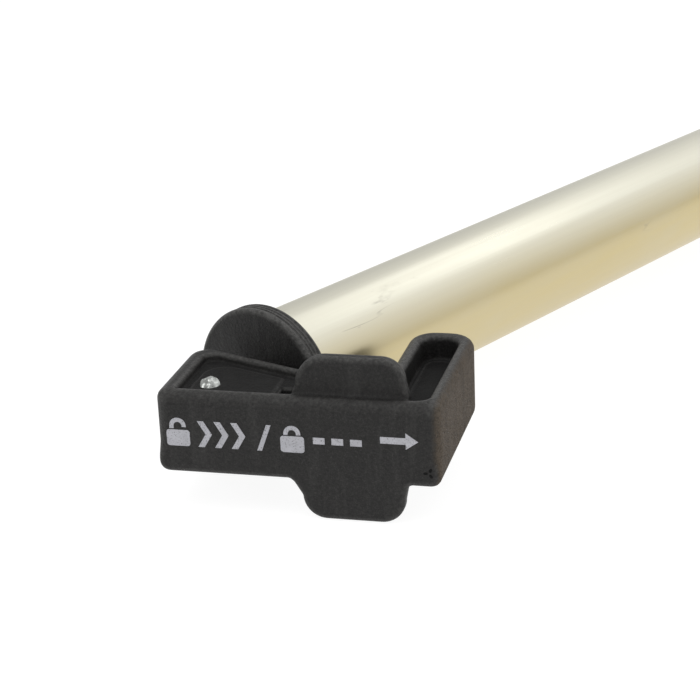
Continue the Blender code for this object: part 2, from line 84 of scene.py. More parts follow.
# The jaw in millimetres and degrees, from its front left corner.
JAW_TURN = -64.6
PIVOT_ACROSS = 13.2
PIVOT_DEEP = 12.0
BACK_SLOPE = 22
BACK_CORNER = (6, 31.6)
BACK_CORNER_R = 6
FRONT_WALL = 4.5
SIDE_WALL = 4.3
CLEVIS_RIGHT = 41.3
CLEVIS_HALF = 6.5
WEB_RIGHT = 34.5
FINGER_LEFT = 63.3
FINGER_REACH = 61.0
FINGER_TIP_WALL = 5.5
TAB_LEFT = 39.8
TAB_RIGHT = 73.8
TAB_TOP = 24.4
TAB_THICKNESS = 4.4
TAB_SETBACK = 4.2
POCKET_DEPTH = 2.6
THROUGH = 40
THROAT = (53.3, 25)
THROAT_R = 10
BACK_KNEE = (41.5, 23.3)

# The plugs, tubes and fasteners in millimetres.
PIVOT_SIDE = 5.5
PIVOT_REACH = 26.4
BORE_R = 2.55
HOLE_R = 2.2
HOLE_FROM_FACE = 24.4
PIN_X = -30.0
GUIDE_PIN_X = -87.0
COLLAR_SCREW_X = 90.0
ENDS = ("near", "far")
END_BODY = {"near": "outer_bar", "far": "inner_bar"}
JAW_BODY = {"near": "near_jaw", "far": "far_jaw"}
pivots = {j["child"]: Vector(j["pos_m"]) for j in frame["record"]["behaviour"]["joints"] if "pos_m" in j}
tube_low, tube_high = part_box("outer_tube")
slide_low, slide_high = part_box("inner_tube")
collar_low, collar_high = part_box("tube_collar")
spring_low, spring_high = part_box("main_spring")
stop_low, stop_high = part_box("spring_stop")
STOP_MIDDLE = (stop_low.x + stop_high.x) / 2


def length(name, description, default):
    return FloatProperty(name=name, description=description, default=default, unit="LENGTH")


def power(name, description, default):
    return FloatProperty(name=name, description=description, default=default, unit="POWER")


def colour(name, description, default):
    return FloatVectorProperty(name=name, description=description, default=default, size=3, subtype="COLOR")


class CargoJawSizes(bpy.types.PropertyGroup):
    width: length("Width", "Across the flat front face", 0.0834)
    half_height: length("Half height", "Of the body", 0.0125)
    edge: length("Edge", "Radius of the moulded edges", 0.0031)
    front_edge: length("Front edge", "Radius round the front face", 0.0038)
    root: length("Tab root", "Fillet under each tab", 0.0012)
    finger_depth: length("Finger pocket", "Depth of the finger's pocket", 0.008)
    grid: length("Grid", "Spacing the jaw is meshed at", 0.0005)


class CargoPlugSizes(bpy.types.PropertyGroup):
    flange: length("Flange radius", "Of the round flange", 0.0244)
    thickness: length("Thickness", "Of the flange", 0.0064)
    rim_groove: length("Rim groove", "Depth of the rim's grooves", 0.0004)
    lug: length("Lug", "Half the lug's width", 0.0068)


class CargoTubeSizes(bpy.types.PropertyGroup):
    steps: IntProperty(name="Steps", description="Facets round each tube", default=160, min=24)
    end_round: length("End round", "Radius of the cut ends", 0.0004)
    rib_count: IntProperty(name="Collar ribs", description="Grip ribs round the collar", default=32, min=3)
    rib_height: length("Rib height", "Above the collar", 0.0005)


class CargoFinishes(bpy.types.PropertyGroup):
    nylon: colour("Nylon", "Moulded black", (0.0150, 0.0143, 0.0136))
    # Pale nylon: lightens grain and flow streaks, and the rims as rubbing wear and as a painted highlight.
    pale_nylon: colour("Pale nylon", "On its edges", (0.100, 0.098, 0.094))
    plating: colour("Plating", "Yellow passivated zinc", (0.60, 0.50, 0.262))
    pale_plating: colour("Pale plating", "Where it is thin", (0.60, 0.525, 0.335))
    zinc: colour("Bright zinc", "Fasteners", (0.58, 0.60, 0.58))
    ink: colour("Ink", "Printed marks", (0.40, 0.40, 0.43))
    grain: FloatProperty(name="Grain", description="Grains of the nylon per metre", default=2600)


class CargoStageSizes(bpy.types.PropertyGroup):
    floor: length("Floor", "Half the floor's width", 30.0)
    key: power("Key light", "Power of the long soft box", 0.85)
    top: power("Top light", "Power of the overhead soft box", 6.0)
    side: power("Side light", "Power of the front soft box", 0.6)
    sky: FloatProperty(name="Surroundings", description="Brightness of the studio", default=1.0)


def settings():
    return bpy.context.scene.cargo_bar


# ---------------------------------------------------------------- places

def end_matrix(end):
    """The end frame, in metres: the flange's face is at y = 0 and +Y points into the bar."""
    pivot = pivots[JAW_BODY[end]]
    flange = math.copysign(abs(pivot.x) - PIVOT_REACH * MM, pivot.x)
    turn = math.radians(-90 if end == "near" else 90)
    return Matrix.Translation((flange, 0, 0)) @ Matrix.Rotation(turn, 4, "Z")


def jaw_matrix(end):
    """The jaw frame, in metres: its origin is the front left corner, X along the face and Y away from it."""
    turn = math.radians(JAW_TURN if end == "near" else JAW_TURN + 180)
    pivot = Matrix.Translation(pivots[JAW_BODY[end]]) @ Matrix.Rotation(turn, 4, "Z")
    return pivot @ Matrix.Translation((-PIVOT_ACROSS * MM, -PIVOT_DEEP * MM, 0))


def rivet_places(end):
    """Frames whose Z axes point out through an end's two plug rivets."""
    middle = end_matrix(end) @ Matrix.Translation((0, HOLE_FROM_FACE * MM, 0))
    return [middle @ Matrix.Rotation(turn, 4, "Y") for turn in (math.pi, -math.pi / 2)]


def crossing(x, out=0.0):
    """A frame at x millimetres along the bar whose Z axis is the bar's Y axis."""
    return Matrix.Translation((x * MM, out, 0)) @ Matrix.Rotation(-math.pi / 2, 4, "X")


ALONG = Matrix.Rotation(math.pi / 2, 4, "Y")
STOP_RIVET = Matrix.Translation((STOP_MIDDLE, 0, 0)) @ Matrix.Rotation(math.pi, 4, "X")


def moved(points, matrix):
    """Points in millimetres put through a matrix in metres."""
    turned = np.array(matrix, float)
    return np.asarray(points, float) * MM @ turned[:3, :3].T + turned[:3, 3]


# ---------------------------------------------------------------- meshes

def piece(name, points, faces, finish, smooth=True, sharp=None):
    mesh = bpy.data.meshes.new(name)
    mesh.from_pydata([tuple(p) for p in points], [], [tuple(int(i) for i in f) for f in faces])
    mesh.materials.append(bpy.data.materials[finish])
    obj = bpy.data.objects.new(name, mesh)
    bpy.context.scene.collection.objects.link(obj)
    mesh.polygons.foreach_set("use_smooth", [smooth] * len(mesh.polygons))
    if sharp is not None:
        mesh.set_sharp_from_angle(angle=math.radians(sharp))
    return obj


def tidy(obj, merge=1e-6):
    """Merges doubles and turns every face outwards."""
    shape = bmesh.new()
    shape.from_mesh(obj.data)
    bmesh.ops.remove_doubles(shape, verts=shape.verts, dist=merge)
    bmesh.ops.recalc_face_normals(shape, faces=shape.faces)
    shape.to_mesh(obj.data)
    shape.free()
    return obj


def baked(obj, sharp=None):
    """Leaves the object with what its modifiers make, and none of them."""
    graph = bpy.context.evaluated_depsgraph_get()
    mesh = bpy.data.meshes.new_from_object(obj.evaluated_get(graph))
    obj.modifiers.clear()
    obj.data = mesh
    if sharp is not None:
        mesh.polygons.foreach_set("use_smooth", [True] * len(mesh.polygons))
        mesh.set_sharp_from_angle(angle=math.radians(sharp))
    return obj


def arc(centre, radius, start, end, steps=6):
    """Points along an arc, its angles in degrees."""
    angles = np.radians(np.linspace(start, end, steps + 1))
    return [(centre[0] + radius * math.cos(a), centre[1] + radius * math.sin(a)) for a in angles]


def lathe(profile, steps=96, closed=True):
    """A turned shape about Z from (radius, height) points, in their order round the section."""
    ring = np.radians(np.arange(steps) * 360 / steps)
    points = []
    rows = []
    for radius, height in profile:
        if radius < 1e-6:
            rows.append([len(points)] * steps)
            points.append((0, 0, height))
        else:
            rows.append(list(range(len(points), len(points) + steps)))
            points += [(radius * math.cos(a), radius * math.sin(a), height) for a in ring]
    faces = []
    pairs = list(zip(rows, rows[1:])) + ([(rows[-1], rows[0])] if closed else [])
    for low, high in pairs:
        for i in range(steps):
            j = (i + 1) % steps
            face = [low[i], low[j], high[j], high[i]]
            face = [v for k, v in enumerate(face) if v != face[k - 1]]
            if len(face) > 2:
                faces.append(face)
    return np.array(points, float), faces


def turned(name, profile, matrix, finish, steps=96, closed=True, sharp=32):
    points, faces = lathe(profile, steps, closed)
    obj = tidy(piece(name, moved(points, matrix), faces, finish))
    obj.data.polygons.foreach_set("use_smooth", [True] * len(obj.data.polygons))
    obj.data.set_sharp_from_angle(angle=math.radians(sharp))
    return obj


def prism(outline, low, high):
    """A closed outline in X and Y, given a height from low to high."""
    count = len(outline)
    points = [(x, y, low) for x, y in outline] + [(x, y, high) for x, y in outline]
    sides = [(i, (i + 1) % count, (i + 1) % count + count, i + count) for i in range(count)]
    return np.array(points, float), [tuple(range(count))[::-1], tuple(range(count, 2 * count)), *sides]


def combined(shapes):
    """Several (points, faces) as one."""
    points, faces, start = [], [], 0
    for some, theirs in shapes:
        points.append(np.asarray(some, float))
        faces += [tuple(i + start for i in f) for f in theirs]
        start += len(some)
    return np.vstack(points), faces


def carve(obj, cutter, operation="DIFFERENCE"):
    """Cuts the cutter from the object, or joins it on, and removes the cutter."""
    modifier = obj.modifiers.new("carve", "BOOLEAN")
    modifier.operation = operation
    modifier.solver = "EXACT"
    modifier.object = cutter
    baked(obj)
    bpy.data.objects.remove(cutter, do_unlink=True)
    return obj


def marked(obj, name, values):
    """Gives each of the piece's points a strength that its finish reads."""
    strength = obj.data.attributes.new(name, "FLOAT", "POINT")
    strength.data.foreach_set("value", values.astype(np.float32))


def clean(obj, sharp=32):
    """Tidies what a Boolean leaves, and shades it smooth up to its sharp edges."""
    tidy(obj, 2e-6)
    obj.data.polygons.foreach_set("use_smooth", [True] * len(obj.data.polygons))
    obj.data.set_sharp_from_angle(angle=math.radians(sharp))
    return obj


# ---------------------------------------------------------------- moulded solids

def flat_distance(x, y, outline):
    """Signed distance, negative inside, from a closed outline to each point of the x, y grid."""
    px, py = np.meshgrid(x, y, indexing="ij")
    best = np.full(px.shape, 1e9)
    inside = np.zeros(px.shape, bool)
    for (ax, ay), (bx, by) in zip(outline, outline[1:] + outline[:1]):
        ex, ey = bx - ax, by - ay
        share = np.clip(((px - ax) * ex + (py - ay) * ey) / (ex * ex + ey * ey + 1e-12), 0, 1)
        best = np.minimum(best, np.hypot(px - ax - share * ex, py - ay - share * ey))
        if ay != by:
            crosses = (ay > py) != (by > py)
            inside ^= crosses & (px < ax + (py - ay) * ex / ey)
    return np.where(inside, -best, best).astype(np.float32)


def slab(side, lid, edge=0.0):
    """The solid where both distances are negative, with its outer edges rounded."""
    side, lid = side + edge, lid + edge
    return np.minimum(np.maximum(side, lid), 0) + np.hypot(np.maximum(side, 0), np.maximum(lid, 0)) - edge


def joined(a, b, fillet):
    """Two solids together, with a fillet where they meet."""
    blend = np.hypot(np.maximum(fillet - a, 0), np.maximum(fillet - b, 0))
    return np.maximum(fillet, np.minimum(a, b)) - blend


def shared(a, b, edge):
    """What two solids share, with the edge between them rounded."""
    return np.minimum(-edge, np.maximum(a, b)) + np.hypot(np.maximum(edge + a, 0), np.maximum(edge + b, 0))


def sampled(field, place):
    """The field between its grid points."""
    base = np.clip(np.floor(place).astype(int), 0, np.array(field.shape) - 2)
    part = place - base
    total = 0
    for corner in itertools.product((0, 1), repeat=3):
        weight = np.prod(np.where(np.array(corner), part, 1 - part), axis=1)
        total = total + weight * field[tuple((base + corner).T)]
    return total


def skin(field, low, step):
    """Points, quads and rim strength of the surface where the field is zero."""
    inside = field < 0
    size = np.array(field.shape) - 1
    count = np.zeros(size, np.int8)
    for dx, dy, dz in itertools.product((0, 1), repeat=3):
        count += inside[dx : size[0] + dx, dy : size[1] + dy, dz : size[2] + dz]
    active = np.argwhere((count > 0) & (count < 8))
    number = np.full(size, -1)
    number[tuple(active.T)] = np.arange(len(active))
    total = np.zeros((len(active), 3))
    hits = np.zeros(len(active))
    for axis in range(3):
        others = [a for a in range(3) if a != axis]
        for offset in itertools.product((0, 1), repeat=2):
            start = active.copy()
            start[:, others] += offset
            end = start.copy()
            end[:, axis] += 1
            first, second = field[tuple(start.T)], field[tuple(end.T)]
            crosses = (first < 0) != (second < 0)
            place = start.astype(float)
            place[crosses, axis] += first[crosses] / (first[crosses] - second[crosses])
            total[crosses] += place[crosses]
            hits[crosses] += 1
    place = total / hits[:, None]
    slopes = np.gradient(field)
    for _ in range(3):
        slope = np.stack([sampled(s, place) for s in slopes], axis=1)
        length = np.maximum((slope**2).sum(axis=1), 0.25 * step * step)
        place = place - 0.8 * (sampled(field, place) / length)[:, None] * slope
    bend = sum(np.gradient(s, axis=i) for i, s in enumerate(slopes)) / step**2
    rim = np.clip(sampled(bend.astype(np.float32), place) / 0.5, -1, 1)
    faces = []
    for axis in range(3):
        u, v = (axis + 1) % 3, (axis + 2) % 3
        change = np.diff(inside.astype(np.int8), axis=axis) != 0
        at = np.argwhere(change)
        at = at[(at[:, u] > 0) & (at[:, v] > 0) & (at[:, u] < size[u]) & (at[:, v] < size[v])]
        quad = []
        for du, dv in ((-1, -1), (0, -1), (0, 0), (-1, 0)):
            cell = at.copy()
            cell[:, u] += du
            cell[:, v] += dv
            quad.append(number[tuple(cell.T)])
        quad = np.stack(quad, axis=1)
        facing = inside[tuple(at.T)]
        quad[~facing] = quad[~facing][:, ::-1]
        faces.append(quad)
    slope = np.stack([sampled(s, place) for s in slopes], axis=1)
    normals = slope / np.linalg.norm(slope, axis=1)[:, None]
    return np.array(low) + place * step, np.vstack(faces), rim, normals


# ---------------------------------------------------------------- node trees

def input_ids(group):
    return {
        item.name: item.identifier
        for item in group.interface.items_tree
        if item.item_type == "SOCKET" and item.in_out == "INPUT"
    }


def new_tree(name, inputs):
    """A Geometry Nodes tree, its named inputs, and its output node."""
    group = bpy.data.node_groups.new(name, "GeometryNodeTree")
    group.interface.new_socket("Geometry", in_out="INPUT", socket_type="NodeSocketGeometry")
    for label, kind, default in inputs:
        made = group.interface.new_socket(label, in_out="INPUT", socket_type="NodeSocket" + kind)
        if default is not None:
            made.default_value = default
    group.interface.new_socket("Geometry", in_out="OUTPUT", socket_type="NodeSocketGeometry")
    given = {socket.name: socket for socket in group.nodes.new("NodeGroupInput").outputs}
    return group, given, group.nodes.new("NodeGroupOutput")


def wire(group, kind, links=(), **values):
    """A node with its inputs set or linked. A link is (this node's input, another node's output socket)."""
    node = group.nodes.new(kind)
    for key, value in values.items():
        setattr(node, key, value)
    for key, value in links:
        if isinstance(value, bpy.types.NodeSocket):
            group.links.new(value, node.inputs[key])
        else:
            node.inputs[key].default_value = value
    return node


def end_tree(group, given, out, geometry):
    """Realises the instances, gives them the tree's material and ends the tree."""
    real = wire(group, "GeometryNodeRealizeInstances", [(0, geometry)])
    smooth = wire(group, "GeometryNodeSetShadeSmooth", [("Geometry", real.outputs[0])])
    finish = [("Geometry", smooth.outputs[0]), ("Material", given["Material"])]
    painted = wire(group, "GeometryNodeSetMaterial", finish)
    group.links.new(painted.outputs[0], out.inputs[0])


def grown(name, points, group, values, aims=None):
    """A piece that a tree makes from a few points, as a plain mesh."""
    mesh = bpy.data.meshes.new(name)
    mesh.from_pydata([tuple(p) for p in points], [], [])
    if aims is not None:
        aim = mesh.attributes.new("aim", "FLOAT_VECTOR", "POINT")
        aim.data.foreach_set("vector", np.array(aims, np.float32).ravel())
    obj = bpy.data.objects.new(name, mesh)
    bpy.context.scene.collection.objects.link(obj)
    modifier = obj.modifiers.new("tree", "NODES")
    modifier.node_group = group
    ids = input_ids(group)
    for label, value in values.items():
        modifier[ids[label]] = value
    bpy.context.view_layer.update()
    return baked(obj, 32)


def shifted(group, geometry, **changes):
    """The geometry moved, turned or sized by a Transform node."""
    return wire(group, "GeometryNodeTransform", [("Geometry", geometry), *changes.items()]).outputs[0]


def faced(group, vector, axis, **options):
    """A rotation that turns an axis to face along a vector."""
    kind = "FunctionNodeAlignRotationToVector"
    return wire(group, kind, [("Vector", vector)], axis=axis, **options)


def aimed(group):
    aim = wire(group, "GeometryNodeInputNamedAttribute", [("Name", "aim")], data_type="FLOAT_VECTOR")
    return faced(group, aim.outputs[0], "Z").outputs[0]


def copies(group, points, instance, turn):
    links = [("Points", points), ("Instance", instance), ("Rotation", turn)]
    return wire(group, "GeometryNodeInstanceOnPoints", links).outputs[0]


def ring_and_bead(group, count, radius, size, segments, rings):
    """A ring of points, and the ellipsoid that stands at each of them."""
    ring = wire(group, "GeometryNodeMeshCircle", [("Vertices", count), ("Radius", radius)])
    links = [("Segments", segments), ("Rings", rings), ("Radius", 1.0)]
    bead = wire(group, "GeometryNodeMeshUVSphere", links)
    return ring.outputs[0], shifted(group, bead.outputs[0], Scale=size)


def rivet_tree():
    """Puts a copy of one rivet at each point, its axis along the point's aim."""
    inputs = [("Rivet", "Object", None), ("Material", "Material", None)]
    group, given, out = new_tree("placed_rivets", inputs)
    source = wire(group, "GeometryNodeObjectInfo", [("Object", given["Rivet"])])
    put = copies(group, given["Geometry"], source.outputs["Geometry"], aimed(group))
    end_tree(group, given, out, put)
    return group


def coil_tree():
    """An open coil of round wire along X, from each end of its length."""
    inputs = [("Turns", "Float", 15.0), ("Radius", "Float", 0.013), ("Length", "Float", 0.19)]
    inputs += [("Wire radius", "Float", 0.0013), ("Start", "Vector", (0, 0, 0))]
    inputs.append(("Material", "Material", None))
    group, given, out = new_tree("coiled_wire", inputs)
    links = [("Resolution", 40), ("Rotations", given["Turns"]), ("Height", given["Length"])]
    links += [("Start Radius", given["Radius"]), ("End Radius", given["Radius"])]
    spiral = wire(group, "GeometryNodeCurveSpiral", links)
    laid = shifted(group, spiral.outputs[0], Translation=given["Start"], Rotation=(0, math.pi / 2, 0))
    links = [("Resolution", 14), ("Radius", given["Wire radius"])]
    section = wire(group, "GeometryNodeCurvePrimitiveCircle", links)
    links = [("Curve", laid), ("Profile Curve", section.outputs[0]), ("Fill Caps", True)]
    swept = wire(group, "GeometryNodeCurveToMesh", links)
    end_tree(group, given, out, swept.outputs[0])
    return group


def rib_tree():
    """Long low ribs standing round a collar whose axis is X."""
    inputs = [("Count", "Int", 32), ("Radius", "Float", 0.023), ("Middle", "Vector", (0, 0, 0))]
    inputs += [("Rib size", "Vector", (0.009, 0.0009, 0.0005)), ("Material", "Material", None)]
    group, given, out = new_tree("grip_ribs", inputs)
    ring, rib = ring_and_bead(group, given["Count"], given["Radius"], given["Rib size"], 12, 10)
    upright = shifted(group, ring, Rotation=(0, math.pi / 2, 0))
    along = faced(group, (1.0, 0.0, 0.0), "X")
    spot = wire(group, "GeometryNodeInputPosition")
    outward = faced(group, spot.outputs[0], "Z", pivot_axis="X")
    group.links.new(along.outputs[0], outward.inputs["Rotation"])
    put = copies(group, upright, rib, outward.outputs[0])
    end_tree(group, given, out, shifted(group, put, Translation=given["Middle"]))
    return group


def petal_tree():
    """A small rosette of petals round each point, on the face that the point's aim leaves."""
    inputs = [("Petals", "Int", 3), ("Radius", "Float", 0.001)]
    inputs += [("Petal size", "Vector", (0.0007, 0.00045, 0.0001)), ("Material", "Material", None)]
    group, given, out = new_tree("gate_rosette", inputs)
    ring, petal = ring_and_bead(group, given["Petals"], given["Radius"], given["Petal size"], 10, 6)
    spot = wire(group, "GeometryNodeInputPosition")
    rosette = copies(group, ring, petal, faced(group, spot.outputs[0], "X").outputs[0])
    end_tree(group, given, out, copies(group, given["Geometry"], rosette, aimed(group)))
    return group


# ---------------------------------------------------------------- finishes

def new_finish(name, metallic, roughness):
    made = bpy.data.materials.new(name)
    made.use_nodes = True
    shader = made.node_tree.nodes["Principled BSDF"]
    shader.inputs["Metallic"].default_value = metallic
    shader.inputs["Roughness"].default_value = roughness
    return made.node_tree, shader


def object_noise(tree, scale, stretch=(1, 1, 1), detail=3.0, roughness=0.55, distortion=0.0):
    """Noise on the piece's own coordinates, stretched along an axis by a small number."""
    place = wire(tree, "ShaderNodeTexCoord")
    sized = wire(tree, "ShaderNodeMapping", [("Vector", place.outputs["Object"]), ("Scale", stretch)])
    links = [("Vector", sized.outputs[0]), ("Scale", scale), ("Detail", detail)]
    links += [("Roughness", roughness), ("Distortion", distortion)]
    return wire(tree, "ShaderNodeTexNoise", links).outputs["Fac"]


def ranged(tree, value, low, high, to_low=0.0, to_high=1.0):
    """A value moved from one range to another and held inside it."""
    links = [("Value", value), ("From Min", low), ("From Max", high), ("To Min", to_low), ("To Max", to_high)]
    return wire(tree, "ShaderNodeMapRange", links).outputs[0]


def blended(tree, factor, first, second):
    """A colour between two, each a colour or a socket."""
    node = wire(tree, "ShaderNodeMix", data_type="RGBA")
    slots = [s for s in node.inputs if s.enabled]
    for slot_in, value in zip(slots, (factor, first, second)):
        if isinstance(value, bpy.types.NodeSocket):
            tree.links.new(value, slot_in)
        else:
            slot_in.default_value = value if isinstance(value, float) else (*value, 1)
    return [s for s in node.outputs if s.enabled][0]


def reckoned(tree, operation, first, second=0.0):
    return wire(tree, "ShaderNodeMath", [(0, first), (1, second)], operation=operation).outputs[0]


def times(tree, first, second):
    return reckoned(tree, "MULTIPLY", first, second)


def strength_of(tree, name):
    """A strength between 0 and 1 that the piece's own points carry."""
    return wire(tree, "ShaderNodeAttribute", attribute_name=name).outputs["Fac"]


def bumped(tree, shader, layers):
    """Bump from (height, strength, distance) layers, one on the other."""
    normal = None
    for height, strength, distance in layers:
        links = [("Height", height), ("Strength", strength), ("Distance", distance)]
        node = wire(tree, "ShaderNodeBump", links)
        if normal is not None:
            tree.links.new(normal, node.inputs["Normal"])
        normal = node.outputs[0]
    tree.links.new(normal, shader.inputs["Normal"])


# Near black: darkens the coarse random mottle, paints shade on the jaws' pocket floors, and darkens the gate
# rosette.
NEAR_BLACK = (0.004, 0.004, 0.004)


def make_nylon(look):
    """Glass-filled nylon: fine grain, flow streaks, rims lighter from rubbing wear and a painted highlight,
    painted shade on the pocket floors, and a browner mottled right end face.
    """
    tree, shader = new_finish("moulded nylon", 0.0, 0.5)
    grain = object_noise(tree, look.grain, detail=4.0, roughness=0.65)
    cloud = object_noise(tree, 70.0, detail=4.0)
    flow = object_noise(tree, 260.0, (1.0, 1.0, 0.12), detail=5.0, roughness=0.6)
    specks = object_noise(tree, 900.0, detail=2.0)
    # Rim strength lightens the nylon: partly rubbing wear, partly a painted highlight on up-facing edges and
    # on the flange's rim.
    rim = ranged(tree, strength_of(tree, "rim"), 0.15, 1.5, 0.0, 1.5)
    rubbed_and_lit = times(tree, rim, ranged(tree, specks, 0.3, 0.62, 0.45, 1.0))
    base = blended(tree, ranged(tree, cloud, 0.3, 0.7), look.nylon, [c * 1.45 for c in look.nylon])
    base = blended(tree, ranged(tree, flow, 0.5, 0.78, 0.0, 0.22), base, look.pale_nylon)
    # Painted highlight and rubbing wear: rims lightened towards the pale nylon.
    base = blended(tree, times(tree, rubbed_and_lit, 0.85), base, look.pale_nylon)
    base = blended(tree, ranged(tree, grain, 0.5, 0.7, 0.0, 0.3), base, look.pale_nylon)
    base = blended(tree, ranged(tree, specks, 0.7, 0.78, 0.0, 0.35), base, (0.07, 0.068, 0.063))
    coarse = object_noise(tree, 1000.0, detail=4.0, roughness=0.65)
    # Hollow strength: painted shade on the jaws' pocket floors; the gate rosette carries it at 1.5.
    hollow = strength_of(tree, "hollow")
    right_end_face = strength_of(tree, "right_end_face")
    mottle = ranged(tree, coarse, 0.36, 0.54, 0.3, 1.0)
    streak = times(tree, mottle, ranged(tree, flow, 0.36, 0.56, 0.75, 1.0))
    # Browner and mottled on the jaw's right end face; below, also rougher and pitted.
    base = blended(tree, times(tree, right_end_face, streak), base, (0.19, 0.15, 0.112))
    base = blended(tree, ranged(tree, coarse, 0.36, 0.64, 0.0, 0.5), base, NEAR_BLACK)
    # Painted shade: pocket floors darkened towards near black.
    base = blended(tree, times(tree, hollow, 0.6), base, NEAR_BLACK)
    tree.links.new(base, shader.inputs["Base Color"])
    rough = ranged(tree, cloud, 0.25, 0.75, 0.44, 0.56)
    rough = reckoned(tree, "ADD", rough, times(tree, hollow, 0.3))
    rough = reckoned(tree, "SUBTRACT", rough, times(tree, rubbed_and_lit, 0.1))
    rough = reckoned(tree, "ADD", rough, times(tree, right_end_face, 0.35))
    tree.links.new(rough, shader.inputs["Roughness"])
    shader.inputs["Specular IOR Level"].default_value = 0.27
    pitted = times(tree, coarse, right_end_face)
    layers = [(cloud, 0.25, 0.0003), (flow, 0.3, 0.00008), (coarse, 0.9, 0.0004)]
    bumped(tree, shader, layers + [(grain, 0.6, 0.0001), (pitted, 1.0, 0.0012)])


def make_plating(look):
    """Yellow passivated zinc on drawn steel: cloudy tint, drawing lines, hair scratches, rub marks, and a
    painted highlight that pales each tube's top.
    """
    tree, shader = new_finish("passivated plating", 1.0, 0.32)
    tint = object_noise(tree, 14.0, (0.5, 1.6, 1.6), detail=5.0, roughness=0.6, distortion=0.6)
    drawn = object_noise(tree, 700.0, (0.012, 1.0, 1.0), detail=5.0, roughness=0.65)
    line = object_noise(tree, 26.0, (0.16, 2.4, 2.4), detail=3.0, roughness=0.5, distortion=0.2)
    where = object_noise(tree, 17.0, (0.8, 1.0, 1.0), detail=2.0)
    smudge = object_noise(tree, 120.0, (0.45, 1.2, 1.2), detail=4.0)
    place = wire(tree, "ShaderNodeSeparateXYZ", [(0, wire(tree, "ShaderNodeTexCoord").outputs["Object"])])
    # Painted highlight: the plating pales towards near white on the upper part of each tube, by its height.
    height = ranged(tree, place.outputs["Z"], -0.02, 0.02)
    colour = blended(tree, ranged(tree, tint, 0.34, 0.66), look.plating, look.pale_plating)
    colour = blended(tree, ranged(tree, height, 0.64, 0.9, 0.0, 0.9), colour, (0.79, 0.78, 0.675))
    away = reckoned(tree, "ABSOLUTE", reckoned(tree, "SUBTRACT", line, 0.5))
    hair = ranged(tree, away, 0.001, 0.004, 1.0, 0.0)
    hair = times(tree, hair, ranged(tree, where, 0.56, 0.64))
    hair = times(tree, hair, ranged(tree, smudge, 0.46, 0.58))
    colour = blended(tree, times(tree, hair, 0.4), colour, (0.2, 0.18, 0.15))
    rub = times(tree, ranged(tree, smudge, 0.66, 0.74), ranged(tree, where, 0.5, 0.6))
    colour = blended(tree, times(tree, rub, 0.55), colour, (0.3, 0.28, 0.24))
    colour = blended(tree, ranged(tree, drawn, 0.35, 0.65, 0.0, 0.1), colour, (0.55, 0.5, 0.4))
    tree.links.new(colour, shader.inputs["Base Color"])
    rough = ranged(tree, tint, 0.3, 0.7, 0.25, 0.33)
    rough = reckoned(tree, "ADD", rough, ranged(tree, drawn, 0.3, 0.7, 0.0, 0.05))
    tree.links.new(reckoned(tree, "ADD", rough, times(tree, rub, 0.2)), shader.inputs["Roughness"])
    bumped(tree, shader, [(drawn, 0.2, 0.00001), (tint, 0.1, 0.0002), (hair, -0.3, 0.00003)])


def make_zinc(look):
    """Bright zinc plate, dimpled where it was hammered."""
    tree, shader = new_finish("bright zinc plate", 1.0, 0.2)
    cloud = object_noise(tree, 420.0, detail=4.0)
    fine = object_noise(tree, 2400.0, detail=3.0)
    place = wire(tree, "ShaderNodeTexCoord")
    links = [("Vector", place.outputs["Object"]), ("Scale", 620.0)]
    facets = wire(tree, "ShaderNodeTexVoronoi", links, feature="SMOOTH_F1").outputs["Distance"]
    dull = [c * 0.62 for c in look.zinc]
    colour = blended(tree, ranged(tree, cloud, 0.35, 0.65), look.zinc, dull)
    colour = blended(tree, ranged(tree, fine, 0.6, 0.75, 0.0, 0.6), colour, (0.3, 0.29, 0.27))
    tree.links.new(colour, shader.inputs["Base Color"])
    tree.links.new(ranged(tree, cloud, 0.3, 0.7, 0.14, 0.32), shader.inputs["Roughness"])
    bumped(tree, shader, [(facets, 0.55, 0.0006), (fine, 0.25, 0.00003)])


def make_ink(look):
    """Pad-printed ink: thin, speckled by the grain under it."""
    tree, shader = new_finish("printed ink", 0.0, 0.55)
    grain = object_noise(tree, 2300.0, detail=3.0)
    cloud = object_noise(tree, 260.0, detail=3.0)
    colour = blended(tree, ranged(tree, cloud, 0.3, 0.7), look.ink, [c * 1.25 for c in look.ink])
    colour = blended(tree, ranged(tree, grain, 0.56, 0.68, 0.0, 0.75), colour, (0.06, 0.06, 0.06))
    tree.links.new(colour, shader.inputs["Base Color"])
    tree.links.new(ranged(tree, grain, 0.3, 0.7, 0.5, 0.66), shader.inputs["Roughness"])
    bumped(tree, shader, [(grain, 0.4, 0.00005)])


class CARGO_OT_finishes(bpy.types.Operator):
    """Makes the nylon, plating, zinc and ink finishes"""

    bl_idname = "cargo.finishes"
    bl_label = "Finishes"

    def execute(self, context):
        look = settings().finishes
        for make in (make_nylon, make_plating, make_zinc, make_ink):
            make(look)
        return {"FINISHED"}


# ---------------------------------------------------------------- jaws

def box(left, right, front, back):
    return [(left, front), (right, front), (right, back), (left, back)]


def jaw_outline(width, front):
    """The jaw's plan in millimetres, from the front left corner, starting at the given front."""
    return (
        [(0, front), (width, front)]
        + arc((width - 8, FINGER_REACH - 8), 8, 0, 90)
        + arc((FINGER_LEFT + 8, FINGER_REACH - 8), 8.0, 90, 180)
        + arc(THROAT, THROAT_R, 0, -135, 12)
        + [BACK_KNEE]
        + arc(BACK_CORNER, BACK_CORNER_R, 90 - BACK_SLOPE, 180)
    )


